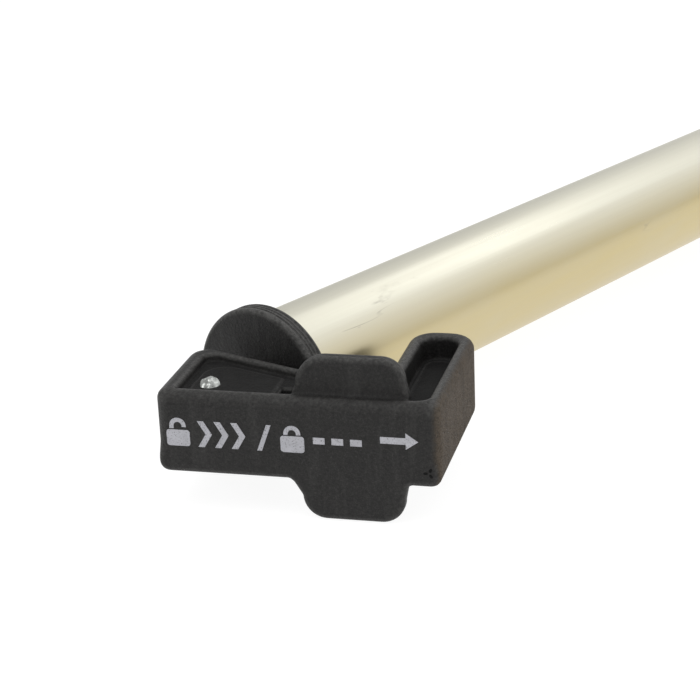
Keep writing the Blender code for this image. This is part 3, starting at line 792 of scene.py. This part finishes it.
def pocket_plan(inset=0.0, right=CLEVIS_RIGHT, radius=3.5):
    """The clevis pocket, one wall in from the outline, and more by the inset."""
    normal = math.radians(90 - BACK_SLOPE)
    left, front = 5.8 + inset, FRONT_WALL + inset
    across = BACK_CORNER[0] * math.cos(normal) + BACK_CORNER[1] * math.sin(normal)
    across = across + BACK_CORNER_R - SIDE_WALL - inset - radius
    centre = (left + radius, (across - (left + radius) * math.cos(normal)) / math.sin(normal))
    corner = arc(centre, radius, 90 - BACK_SLOPE, 180)
    back_x, back_y = corner[0]
    return corner + [(left, front), (right, front), (right, back_y - (right - back_x) / math.tan(normal))]


def finger_plan(width, inset=0.0):
    """The finger's pocket, with rounded corners."""
    wall, corner = SIDE_WALL + inset, max(3.5 - inset, 0.8)
    tip = max(5.2 - inset, 0.8)
    left, right = FINGER_LEFT + wall, width - wall
    front, back = FRONT_WALL + inset, FINGER_REACH - FINGER_TIP_WALL - inset
    return (
        arc((left + corner, front + corner), corner, 180, 270)
        + arc((right - corner, front + corner), corner, 270, 360)
        + arc((right - tip, back - tip), tip, 0, 90)
        + arc((left + tip, back - tip), tip, 90, 180)
    )


def tab_plan(root, left_lean, right_lean, top=TAB_TOP, left_corner=7.0):
    """A tab's face: its sides lean in above the shoulder and its two corners are round."""
    shoulder, corner = 12.5, 7.0
    return (
        [(TAB_LEFT, root), (TAB_RIGHT, root), (TAB_RIGHT, shoulder)]
        + arc((TAB_RIGHT - right_lean - corner, top - corner), corner, 0, 90, 10)
        + arc((TAB_LEFT + left_lean + left_corner, top - left_corner), left_corner, 90, 180, 10)
        + [(TAB_LEFT, shoulder)]
    )


def jaw_skin(sizes):
    """The moulded jaw as points in millimetres from its front left corner, quads and rim strength."""
    step = sizes.grid / MM
    half = sizes.half_height / MM
    width = sizes.width / MM
    edge = sizes.edge / MM
    margin = 1.5
    low = (-margin, -margin, -TAB_TOP - margin)
    s, t, z = (
        (start + np.arange(int((end + margin - start) / step) + 2) * step).astype(np.float32)
        for start, end in zip(low, (width, FINGER_REACH, TAB_TOP))
    )
    level = z[None, None, :]

    def between(lowest, highest):
        return np.maximum(lowest - level, level - highest)

    def plan(outline):
        return flat_distance(s, t, outline)[:, :, None]

    def upright(outline):
        return flat_distance(s, z, outline)[:, None, :]

    deep = t[None, :, None]
    solid = slab(plan(jaw_outline(width, -9.0)), between(-half, half), edge)
    rise = np.clip((level + 9) / 6, 0, 1)
    front_edge = 1.6 + (sizes.front_edge / MM - 1.6) * rise * rise * (3 - 2 * rise)
    solid = shared(solid, np.broadcast_to(-deep, solid.shape), front_edge)
    web_top = half - POCKET_DEPTH
    clevis = plan(box(SIDE_WALL, CLEVIS_RIGHT, FRONT_WALL, 70))
    clevis = slab(clevis, between(-CLEVIS_HALF, CLEVIS_HALF), 0.6)
    solid = shared(solid, -clevis, 0.8)
    for side in (1, -1):
        lid = side * level
        pocket = slab(plan(pocket_plan()), np.maximum(web_top - lid, lid - THROUGH), 0.9)
        solid = shared(solid, -pocket, 1.5)
        plateau = np.maximum(web_top - 2 - lid, lid - web_top - 0.7)
        ledge = slab(plan(pocket_plan(2.3, 33.6, 6.5)), plateau, 0.45)
        ledge = shared(ledge, np.broadcast_to(CLEVIS_HALF + 0.6 - lid, ledge.shape), 0.2)
        solid = joined(solid, ledge, 0.4)
        floor = half - sizes.finger_depth / MM
        hollow = slab(plan(finger_plan(width)), np.maximum(floor - lid, lid - THROUGH), 1.2)
        solid = shared(solid, -hollow, 1.7)
        bead = np.abs(plan(finger_plan(width, 1.3)))
        bead = slab(bead - 0.45, np.maximum(floor - 1 - lid, lid - floor - 0.55), 0.4)
        solid = joined(solid, bead, 0.35)
    window = slab(plan(box(WEB_RIGHT, 41.0, 4.8, 13.5)), between(-THROUGH, THROUGH), 0.5)
    solid = shared(solid, -window, 0.6)
    root = sizes.root / MM
    upper = np.maximum(TAB_SETBACK - deep, deep - 8.6)
    upper = slab(upright(tab_plan(4.2, 1, 1, 23.7, 9.0)), upper, 1.3)
    solid = joined(solid, upper, root)
    flat = upright([(x, -y) for x, y in tab_plan(8.5, 3, 1)])
    lower = slab(flat, np.maximum(-deep - 6, deep - TAB_THICKNESS), 1.3)
    lower = shared(lower, np.broadcast_to(-deep, lower.shape), 1.3)
    solid = joined(solid, lower, root)
    solid = np.maximum(solid, -deep)
    reach = np.hypot(s[:, None] - PIVOT_ACROSS, t[None, :] - PIVOT_DEEP)[:, :, None]
    boss = slab(np.abs(reach - 4.8) - 0.8, between(web_top - 1, web_top + 0.5), 0.4)
    solid = joined(solid, boss, 0.4)
    bore = slab(reach - BORE_R, between(-THROUGH, THROUGH))
    solid = np.maximum(solid, -bore)
    solid = np.maximum(solid, np.abs(level) - TAB_TOP)
    return skin(solid.astype(np.float32), low, step)


class CARGO_OT_jaws(bpy.types.Operator):
    """Builds the moulded jaw of each end, with its pockets, tabs, boss and hollow finger"""

    bl_idname = "cargo.jaws"
    bl_label = "Jaws"

    def execute(self, context):
        points, faces, rim, normals = jaw_skin(settings().jaw)
        level = np.abs(points[:, 2])
        # Painted highlight: up-facing edges keep their full rim strength and the rest fall towards 0.4 of it,
        # as if lit from above.
        rim = rim * (0.4 + 0.6 * np.clip(1.5 * normals[:, 2], 0, 1))
        # Painted shade: flat faces under 11.4 mm from the jaw's middle, the pocket floors and web, get the
        # hollow strength.
        hollow = np.clip((np.abs(normals[:, 2]) - 0.6) / 0.3, 0, 1) * np.clip((11.4 - level) / 0.6, 0, 1)
        # Strength for the jaw's right end face: facing +X, past 79 mm along the jaw.
        right_end_face = np.clip((normals[:, 0] - 0.3) / 0.5, 0, 1) * np.clip((points[:, 0] - 79) / 3, 0, 1)
        for end in ENDS:
            obj = piece(end + "_moulded_jaw", moved(points, jaw_matrix(end)), faces, "moulded nylon")
            marked(obj, "rim", rim)
            marked(obj, "hollow", hollow)
            marked(obj, "right_end_face", right_end_face)
            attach(obj, JAW_BODY[end])
            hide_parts(end + "_jaw")
        return {"FINISHED"}


# ---------------------------------------------------------------- marks and gate

def padlock(left, closed):
    """A small padlock pictogram: its shackle stands a little off its body."""
    body = arc((left + 0.9, -3.1), 0.9, 180, 270) + arc((left + 6.1, -3.1), 0.9, 270, 360)
    body += arc((left + 6.1, 0.1), 0.9, 0, 90) + arc((left + 0.9, 0.1), 0.9, 90, 180)
    middle = (left + 3.5, 1.7 if closed else 2.2)
    tail = 1.35 if closed else 1.9
    shackle = [(left + 1.0, 1.35)] + arc(middle, 2.5, 180, 0, 12)
    shackle += [(left + 6.0, tail), (left + 4.7, tail)]
    shackle += arc(middle, 1.2, 0, 180, 12) + [(left + 2.3, 1.35)]
    return [body, shackle]


def chevron(left):
    return [(left, 4), (left + 1.9, 4), (left + 4.3, 0), (left + 1.9, -4), (left, -4), (left + 2.4, 0)]


def mark_outlines():
    """The printed row, in millimetres along the face and up: locks, chevrons, a slash, bars and an arrow."""
    rows = padlock(3.2, False)
    rows += [chevron(left) for left in (12.6, 17.6, 22.6)]
    rows += [[(30.2, -4), (31.6, -4), (34.6, 4), (33.2, 4)]]
    rows += padlock(37.2, True)
    rows += [box(left, left + 3.4, -1.0, 1.0) for left in (46.8, 52.2, 57.6)]
    arrow = [(66.3, 0.4), (73.6, 0.4), (73.6, -1.1), (77.2, 1.4), (73.6, 3.9), (73.6, 2.4), (66.3, 2.4)]
    return rows + [arrow]


class CARGO_OT_marks(bpy.types.Operator):
    """Prints the row of generic marks on each jaw's front face, and moulds its gate rosette"""

    bl_idname = "cargo.marks"
    bl_label = "Marks"

    def execute(self, context):
        rosette = petal_tree()
        for end in ENDS:
            place = jaw_matrix(end)
            stand = place @ Matrix.Rotation(math.pi / 2, 4, "X")
            points, faces = combined([prism(outline, -0.03, 0.06) for outline in mark_outlines()])
            points = moved(points, stand)
            obj = tidy(piece(end + "_printed_marks", points, faces, "printed ink", smooth=False))
            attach(obj, JAW_BODY[end])
            front = place.to_3x3() @ Vector((0, -1, 0))
            spot = place @ Vector((80.0 * MM, 0.0, -8.0 * MM))
            finish = bpy.data.materials["moulded nylon"]
            obj = grown(end + "_gate_rosette", [spot], rosette, {"Material": finish}, [front])
            # The gate rosette is darkened and roughened by hollow strength 1.5.
            marked(obj, "hollow", np.full(len(obj.data.vertices), 1.5))
            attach(obj, JAW_BODY[end])
        return {"FINISHED"}


# ---------------------------------------------------------------- plugs

def plug_profile(sizes, spigot):
    """The plug's section in millimetres, from the bore's floor out to the flange and back to the face."""
    flange, thick, groove = sizes.flange / MM, sizes.thickness / MM, sizes.rim_groove / MM
    profile = [(0, 4.0), (spigot - 4 - 0.6, 4.0)] + arc((spigot - 4.6, 4.6), 0.6, 270, 360, 3)
    profile += [(spigot - 4, thick + 39.5), (spigot - 3.5, thick + 40), (spigot - 1.2, thick + 40)]
    profile += [(spigot, thick + 38.8), (spigot, thick + 0.3), (spigot + 0.3, thick)]
    profile += arc((flange - 0.6, thick - 0.6), 0.6, 90, 0, 4)
    for back in (5.5, 4.2, 2.9):
        steps = [(0.04, 0.0), (groove * 0.8, 0.2), (groove, 0.45)]
        steps += [(groove, 0.6), (groove * 0.8, 0.8), (0.04, 1.0)]
        profile += [(flange - deep, back - down) for deep, down in steps]
    profile += arc((flange - 1.8, 1.8), 1.8, 0, -90, 9)
    return profile + [(0, 0)]


def lug_shape(sizes):
    """The lug's plan in the end frame, in millimetres: round the pivot and back into the flange."""
    half = sizes.lug / MM
    pivot = (PIVOT_SIDE, -PIVOT_REACH)
    flare = 2.5
    outline = arc(pivot, half, 180, 360, 24)
    outline += [(pivot[0] + half, -flare)] + arc((pivot[0] + half + flare, -flare), flare, 180, 90, 6)[1:]
    outline += [(pivot[0] + half + flare, 2.0), (pivot[0] - half - flare, 2.0)]
    outline += arc((pivot[0] - half - flare, -flare), flare, 90, 0, 6)
    return outline


class CARGO_OT_plugs(bpy.types.Operator):
    """Builds each end plug: ridged flange, hollow spigot and the lug that carries the jaw"""

    bl_idname = "cargo.plugs"
    bl_label = "End plugs"

    def execute(self, context):
        sizes = settings().plug
        for end, spigot in (("near", 17.7), ("far", 15.6)):
            place = end_matrix(end)
            facing = place @ Matrix.Rotation(-math.pi / 2, 4, "X")
            profile = plug_profile(sizes, spigot)
            obj = turned(end + "_flanged_plug", profile, facing, "moulded nylon", 144, False)
            points, faces = prism(lug_shape(sizes), -6.2, 5.5)
            lug = tidy(piece("lug", moved(points, place), faces, "moulded nylon"))
            bevel = lug.modifiers.new("edges", "BEVEL")
            bevel.width = 0.9 * MM
            bevel.segments = 3
            bevel.limit_method = "ANGLE"
            bevel.angle_limit = math.radians(50)
            baked(lug)
            carve(obj, lug, "UNION")
            points, faces = lathe([(0, -9), (BORE_R, -9), (BORE_R, 9), (0, 9)], 48, False)
            pin = place @ Matrix.Translation((PIVOT_SIDE * MM, -PIVOT_REACH * MM, 0))
            carve(obj, tidy(piece("bore", moved(points, pin), faces, "moulded nylon")))
            for hole in rivet_places(end):
                points, faces = lathe([(0, 5), (HOLE_R, 5), (HOLE_R, 24), (0, 24)], 32, False)
                carve(obj, tidy(piece("hole", moved(points, hole), faces, "moulded nylon")))
            clean(obj)
            local = np.array([place.inverted() @ v.co for v in obj.data.vertices]) / MM
            out = np.clip((np.hypot(local[:, 0], local[:, 2]) - 22.4) / 1.8, 0, 1)
            # Painted highlight and wear: the flange's outer rim gets rim strength 1.5, so it is painted
            # lighter.
            marked(obj, "rim", 1.5 * out * (local[:, 1] < 6.5))
            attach(obj, END_BODY[end])
            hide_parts(end + "_end_plug")
        return {"FINISHED"}


# ---------------------------------------------------------------- tubes and collar

def tube_profile(inner, outer, start, end, edge):
    """A tube's section in metres, with its cut ends rounded."""
    return (
        arc((outer - edge, end - edge), edge, 90, 0, 3)
        + arc((outer - edge, start + edge), edge, 0, -90, 3)
        + arc((inner + edge, start + edge), edge, 270, 180, 3)
        + arc((inner + edge, end - edge), edge, 180, 90, 3)
    )


def drilled(obj, matrix, radius, low, high):
    points, faces = lathe([(0, low), (radius, low), (radius, high), (0, high)], 32, False)
    return carve(obj, tidy(piece("drill", moved(points, matrix), faces, "passivated plating")))


class CARGO_OT_tubes(bpy.types.Operator):
    """Builds the outer tube and the tube that slides in it, with their rivet holes and the stop slot"""

    bl_idname = "cargo.tubes"
    bl_label = "Tubes"

    def execute(self, context):
        sizes = settings().tube
        walls = (
            ("outer", tube_low, tube_high, 0.018, "outer_bar"),
            ("sliding", slide_low, slide_high, 0.0159, "inner_bar"),
        )
        for name, low, high, bore, body in walls:
            profile = tube_profile(bore, high.z, low.x, high.x, sizes.end_round)
            profile = [(r / MM, h / MM) for r, h in profile]
            obj = turned(name + "_tube", profile, ALONG, "passivated plating", sizes.steps)
            end = "near" if body == "outer_bar" else "far"
            for hole in rivet_places(end):
                drilled(obj, hole, HOLE_R, 8, 26)
            if body == "outer_bar":
                drilled(obj, crossing(PIN_X), 2.8, -26, 26)
                drilled(obj, crossing(COLLAR_SCREW_X), HOLE_R, 8, 26)
                drilled(obj, STOP_RIVET, HOLE_R, 8, 26)
            else:
                slot = arc((PIN_X, 0), 2.8, 90, 270, 10) + arc((70, 0), 2.8, -90, 90, 10)
                points, faces = prism(slot, -26, 26)
                points = moved(points, Matrix.Rotation(math.pi / 2, 4, "X"))
                carve(obj, tidy(piece("slot", points, faces, "passivated plating")))
                drilled(obj, crossing(GUIDE_PIN_X), 2.3, -26, 26)
            clean(obj)
            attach(obj, body)
            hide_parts("outer_tube" if body == "outer_bar" else "inner_tube")
        return {"FINISHED"}


class CARGO_OT_collar(bpy.types.Operator):
    """Builds the collar over the outer tube's mouth, with its bands and grip ribs"""

    bl_idname = "cargo.collar"
    bl_label = "Collar"

    def execute(self, context):
        sizes = settings().tube
        back, front, outer = collar_low.x / MM, collar_high.x / MM, collar_high.z / MM
        inside, guide = 20.3, 18.0
        profile = [(guide, front - 0.5), (guide + 0.5, front)]
        profile += arc((outer - 2.2, front - 2.2), 2.2, 90, 0, 8)
        for top in (front - 5, back + 5):
            profile += [(outer, top), (outer - 0.5, top - 0.4), (outer - 0.5, top - 1.2), (outer, top - 1.6)]
        profile += arc((outer - 0.9, back + 0.9), 0.9, 0, -90, 5)
        profile += [(inside + 0.3, back), (inside, back + 0.3), (inside, 100.3), (guide, 100.3)]
        obj = turned("mouth_collar", profile, ALONG, "moulded nylon", 144)
        drilled(obj, crossing(COLLAR_SCREW_X), HOLE_R, 8, 30)
        clean(obj)
        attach(obj, "outer_bar")
        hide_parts("tube_collar")
        middle = Vector(((front + back - 1) / 2 * MM - 1.2 * MM, 0, 0))
        values = {
            "Count": sizes.rib_count,
            "Radius": (outer - 0.1) * MM,
            "Middle": middle,
            "Rib size": (0.0066, 0.0008, sizes.rib_height),
            "Material": bpy.data.materials["moulded nylon"],
        }
        ribs = grown("collar_grip_ribs", [(0, 0, 0)], rib_tree(), values)
        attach(ribs, "outer_bar")
        return {"FINISHED"}


# ---------------------------------------------------------------- fasteners and spring

def domed(radius, base, height, steps=12):
    """A domed head's section, from its crown down to its rim."""
    sphere = (radius**2 + height**2) / (2 * height)
    span = math.asin(min(1, radius / sphere))
    if height > radius:
        span = math.pi - span
    return [
        (sphere * math.sin(span * i / steps), base + height - sphere * (1 - math.cos(span * i / steps)))
        for i in range(steps + 1)
    ]


class CARGO_OT_rivets(bpy.types.Operator):
    """Puts the domed rivets and the collar's screw through the tubes"""

    bl_idname = "cargo.rivets"
    bl_label = "Tube rivets"

    def execute(self, context):
        finish = bpy.data.materials["bright zinc plate"]
        group = rivet_tree()
        head = domed(4.0, 0.3, 1.4) + [(3.9, 0.3), (1.9, 0.3)]
        profile = head + [(1.9, -7.2), (0, -7.2)]
        pattern = turned("rivet_pattern", profile, Matrix.Identity(4), "bright zinc plate", 40, False)
        down, side = Vector((0, 0, -1)), Vector((0, 1, 0))
        outer = tube_high.z
        inner = slide_high.z
        near_x = end_matrix("near").translation.x + HOLE_FROM_FACE * MM
        far_x = end_matrix("far").translation.x - HOLE_FROM_FACE * MM
        groups = (
            (
                "outer_tube_rivets",
                "outer_bar",
                [(near_x, down, outer), (near_x, side, outer), (STOP_MIDDLE, down, outer)],
                ("near_plug_rivet_lower", "near_plug_rivet_side", "spring_stop_rivet"),
            ),
            (
                "sliding_tube_rivets",
                "inner_bar",
                [(far_x, down, inner), (far_x, -side, inner)],
                ("far_plug_rivet_lower", "far_plug_rivet_side"),
            ),
        )
        for name, body, places, nodes in groups:
            points = [Vector((x, 0, 0)) + way * out for x, way, out in places]
            values = {"Rivet": pattern, "Material": finish}
            obj = grown(name, points, group, values, [way for _, way, _ in places])
            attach(obj, body)
            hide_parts(*nodes)
        profile = head + [(1.9, -4.5), (0, -4.5)]
        place = crossing(COLLAR_SCREW_X, collar_high.z)
        screw = turned("collar_pan_screw", profile, place, "bright zinc plate", 48, False)
        for turn in (0, math.pi / 2):
            points, faces = prism(box(-2.2, 2.2, -0.35, 0.35), 1.0, 3.0)
            slot = place @ Matrix.Rotation(turn, 4, "Z")
            carve(screw, tidy(piece("recess", moved(points, slot), faces, "bright zinc plate")))
        clean(screw)
        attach(screw, "outer_bar")
        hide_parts("collar_screw")
        bpy.data.objects.remove(pattern, do_unlink=True)
        return {"FINISHED"}


class CARGO_OT_pivots(bpy.types.Operator):
    """Builds each jaw's pivot rivet with its hammered head, and the washers on it"""

    bl_idname = "cargo.pivots"
    bl_label = "Pivots"

    def execute(self, context):
        for end in ENDS:
            place = Matrix.Translation(pivots[JAW_BODY[end]])
            profile = domed(3.4, 10.2, 2.8, 16) + [(2.25, 10.2), (2.25, -11.5), (3.4, -11.5)]
            profile += [(3.6, -11.7), (3.6, -12.3), (3.3, -12.6), (1.4, -12.6), (0.9, -12.2), (0, -12.2)]
            rivet = turned(end + "_pivot_rivet", profile, place, "bright zinc plate", 64, False)
            lumps = np.array([v.co for v in rivet.data.vertices])
            above = lumps[:, 2] > 10.3 * MM
            rng = np.random.default_rng(7)
            for _ in range(9):
                way = rng.normal(size=3)
                way[2] = abs(way[2]) + 0.4
                way /= np.linalg.norm(way)
                centre = np.array([*place.translation[:2], 9.9 * MM])
                reach = (lumps - centre) @ way
                cap = 2.85 * MM + rng.uniform(-0.1, 0.25) * MM
                excess = np.where(above & (reach > cap), reach - cap, 0)
                lumps -= excess[:, None] * way
            rivet.data.vertices.foreach_set("co", lumps.astype(np.float32).ravel())
            rivet.data.set_sharp_from_angle(angle=math.radians(20))
            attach(rivet, JAW_BODY[end])
            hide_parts(end + "_jaw_rivet")
            washer = [(2.55, -10.4), (2.75, -10.2), (5.3, -10.2), (5.5, -10.4)]
            washer += [(5.5, -11.0), (5.3, -11.2), (2.75, -11.2), (2.55, -11.0)]
            flat = turned(end + "_flat_washer", washer, place, "bright zinc plate", 64)
            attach(flat, JAW_BODY[end])
            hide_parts(end + "_rivet_washer")
            points, faces = lathe([(2.6, 5.85), (6.2, 5.85), (6.2, 6.1), (2.6, 6.1)], 72)
            angle = np.arctan2(points[:, 1], points[:, 0])
            points[:, 2] += 0.05 * np.cos(3 * angle)
            points = moved(points, place)
            wave = tidy(piece(end + "_waved_washer", points, faces, "bright zinc plate", sharp=40))
            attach(wave, END_BODY[end])
            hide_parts(end + "_wave_washer")
        return {"FINISHED"}


class CARGO_OT_insides(bpy.types.Operator):
    """Builds the spring, and the pins and plugs that it works between"""

    bl_idname = "cargo.insides"
    bl_label = "Spring and stops"

    def execute(self, context):
        zinc = bpy.data.materials["bright zinc plate"]
        wire_radius = 0.0013
        values = {
            "Turns": 15.0,
            "Radius": 0.013,
            "Length": spring_high.x - spring_low.x - 2 * wire_radius,
            "Wire radius": wire_radius,
            "Start": (spring_low.x + wire_radius, 0.0, 0.0),
            "Material": zinc,
        }
        spring = grown("coil_spring", [(0, 0, 0)], coil_tree(), values)
        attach(spring, "outer_bar")
        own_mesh(spring)
        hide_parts("main_spring")
        pins = (
            ("stop_pin", PIN_X, 2.5, 20.0, "outer_bar"),
            ("guide_plug_pin", GUIDE_PIN_X, 2.0, 17.4, "inner_bar"),
        )
        for node, x, radius, half, body in pins:
            place = crossing(x)
            profile = [(0, half), (radius - 0.4, half), (radius, half - 0.4)]
            profile += [(radius, 0.4 - half), (radius - 0.4, -half), (0, -half)]
            pin = turned(node + "_turned", profile, place, "bright zinc plate", 48, False)
            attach(pin, body)
            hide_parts(node)
        guide_low, guide_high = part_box("guide_plug")
        head, end = guide_low.x / MM, guide_high.x / MM
        profile = [(4, end - 0.5), (4.5, end), (14.4, end), (15.6, end - 1.2), (15.6, -100.3), (17.2, -100.3)]
        profile += [(17.7, -100.8), (17.7, head + 0.8), (16.9, head), (4.5, head), (4, head + 0.5)]
        guide = turned("spring_guide", profile, ALONG, "moulded nylon", 96)
        clean(drilled(guide, crossing(GUIDE_PIN_X), 2.3, -26, 26))
        start, finish = stop_low.x / MM, stop_high.x / MM
        profile = [(4, finish - 0.5), (4.5, finish), (17.1, finish), (17.7, finish - 0.6)]
        profile += [(17.7, start + 0.6), (17.1, start), (4.5, start), (4, start + 0.5)]
        stop = turned("spring_seat", profile, ALONG, "moulded nylon", 96)
        clean(drilled(stop, STOP_RIVET, HOLE_R, 4.5, 26))
        for obj, body, node in ((guide, "inner_bar", "guide_plug"), (stop, "outer_bar", "spring_stop")):
            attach(obj, body)
            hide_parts(node)
        return {"FINISHED"}


# ---------------------------------------------------------------- stage

CAMERA_PLACE = (-1.0933, -0.36775, 0.21016)
CAMERA_TURN = (69.612, 2.344, -50.801)
CAMERA_LENS = 97.714


def soft_box(name, place, target, size, watts):
    data = bpy.data.lights.new(name, "AREA")
    data.shape = "RECTANGLE"
    data.size, data.size_y = size
    data.energy = watts
    light = bpy.data.objects.new(name, data)
    light.location = place
    light.rotation_euler = (Vector(target) - Vector(place)).to_track_quat("-Z", "Y").to_euler()
    bpy.context.scene.collection.objects.link(light)


class CARGO_OT_stage(bpy.types.Operator):
    """Sets the pale floor, the studio's soft light and the camera"""

    bl_idname = "cargo.stage"
    bl_label = "Stage"

    def execute(self, context):
        stage = settings().stage
        scene = context.scene
        scene.view_settings.view_transform = "Standard"
        half = stage.floor
        level = cad_box[0][2] - 0.0002
        points = [(-half, -half, level), (half, -half, level), (half, half, level), (-half, half, level)]
        tree, shader = new_finish("pale floor", 0.0, 0.9)
        shade = object_noise(tree, 3.0)
        shade = blended(tree, ranged(tree, shade, 0.3, 0.7), (0.19, 0.19, 0.19), (0.21, 0.21, 0.21))
        tree.links.new(shade, shader.inputs["Base Color"])
        shader.inputs["Specular IOR Level"].default_value = 0.0
        shader.inputs["Emission Color"].default_value = (1, 1, 1, 1)
        shader.inputs["Emission Strength"].default_value = 0.92
        floor = piece("studio_floor", points, [(0, 1, 2, 3)], "pale floor", smooth=False)
        world = bpy.data.worlds.new("studio")
        scene.world = world
        world.use_nodes = True
        nodes = world.node_tree
        place = wire(nodes, "ShaderNodeTexCoord")
        way = wire(nodes, "ShaderNodeSeparateXYZ", [(0, place.outputs["Generated"])]).outputs
        bright = ranged(nodes, way["Z"], 0.0, 0.6, 0.8, 1.0)
        bright = times(nodes, bright, ranged(nodes, way["X"], -0.7, 0.4, 0.4, 1.0))
        bright = times(nodes, bright, ranged(nodes, way["Y"], 0.0, 0.7, 1.0, 0.72))
        back = nodes.nodes["Background"]
        nodes.links.new(bright, back.inputs["Color"])
        back.inputs["Strength"].default_value = stage.sky
        look_at = (-0.68, 0.0, 0.0)
        soft_box("long soft box", (0.4, 0.05, 1.2), (-0.3, 0, 0), (1.1, 0.42), stage.key)
        soft_box("top soft box", (-1.35, 0.1, 1.4), look_at, (0.9, 1.1), stage.top)
        soft_box("front soft box", (-1.7, -0.9, 0.75), look_at, (0.9, 0.7), stage.side)
        data = bpy.data.cameras.new("camera")
        data.lens = CAMERA_LENS
        data.sensor_width = 36
        data.clip_end = 60
        camera = bpy.data.objects.new("camera", data)
        camera.location = CAMERA_PLACE
        camera.rotation_euler = [math.radians(a) for a in CAMERA_TURN]
        scene.collection.objects.link(camera)
        scene.camera = camera
        return {"FINISHED"}


# ---------------------------------------------------------------- add-on

class CargoBar(bpy.types.PropertyGroup):
    jaw: PointerProperty(type=CargoJawSizes)
    plug: PointerProperty(type=CargoPlugSizes)
    tube: PointerProperty(type=CargoTubeSizes)
    finishes: PointerProperty(type=CargoFinishes)
    stage: PointerProperty(type=CargoStageSizes)


OPERATORS = (
    CARGO_OT_finishes,
    CARGO_OT_jaws,
    CARGO_OT_marks,
    CARGO_OT_plugs,
    CARGO_OT_tubes,
    CARGO_OT_collar,
    CARGO_OT_rivets,
    CARGO_OT_pivots,
    CARGO_OT_insides,
    CARGO_OT_stage,
)
GROUPS = (CargoJawSizes, CargoPlugSizes, CargoTubeSizes, CargoFinishes, CargoStageSizes, CargoBar)


class CARGO_PT_panel(bpy.types.Panel):
    bl_idname = "CARGO_PT_panel"
    bl_label = "Cargo bar"
    bl_space_type = "VIEW_3D"
    bl_region_type = "UI"
    bl_category = "Cargo bar"

    def draw(self, context):
        for operator in OPERATORS:
            self.layout.operator(operator.bl_idname)
        for group in ("jaw", "plug", "tube", "finishes", "stage"):
            box_here = self.layout.box()
            sizes = getattr(context.scene.cargo_bar, group)
            for name in sizes.__annotations__:
                box_here.prop(sizes, name)


def register():
    for made in (*GROUPS, *OPERATORS, CARGO_PT_panel):
        bpy.utils.register_class(made)
    bpy.types.Scene.cargo_bar = PointerProperty(type=CargoBar)


def unregister():
    del bpy.types.Scene.cargo_bar
    for made in reversed((*GROUPS, *OPERATORS, CARGO_PT_panel)):
        bpy.utils.unregister_class(made)


def main():
    register()
    for operator in OPERATORS:
        group, name = operator.bl_idname.split(".")
        getattr(getattr(bpy.ops, group), name)()


if __name__ == "__main__":
    main()
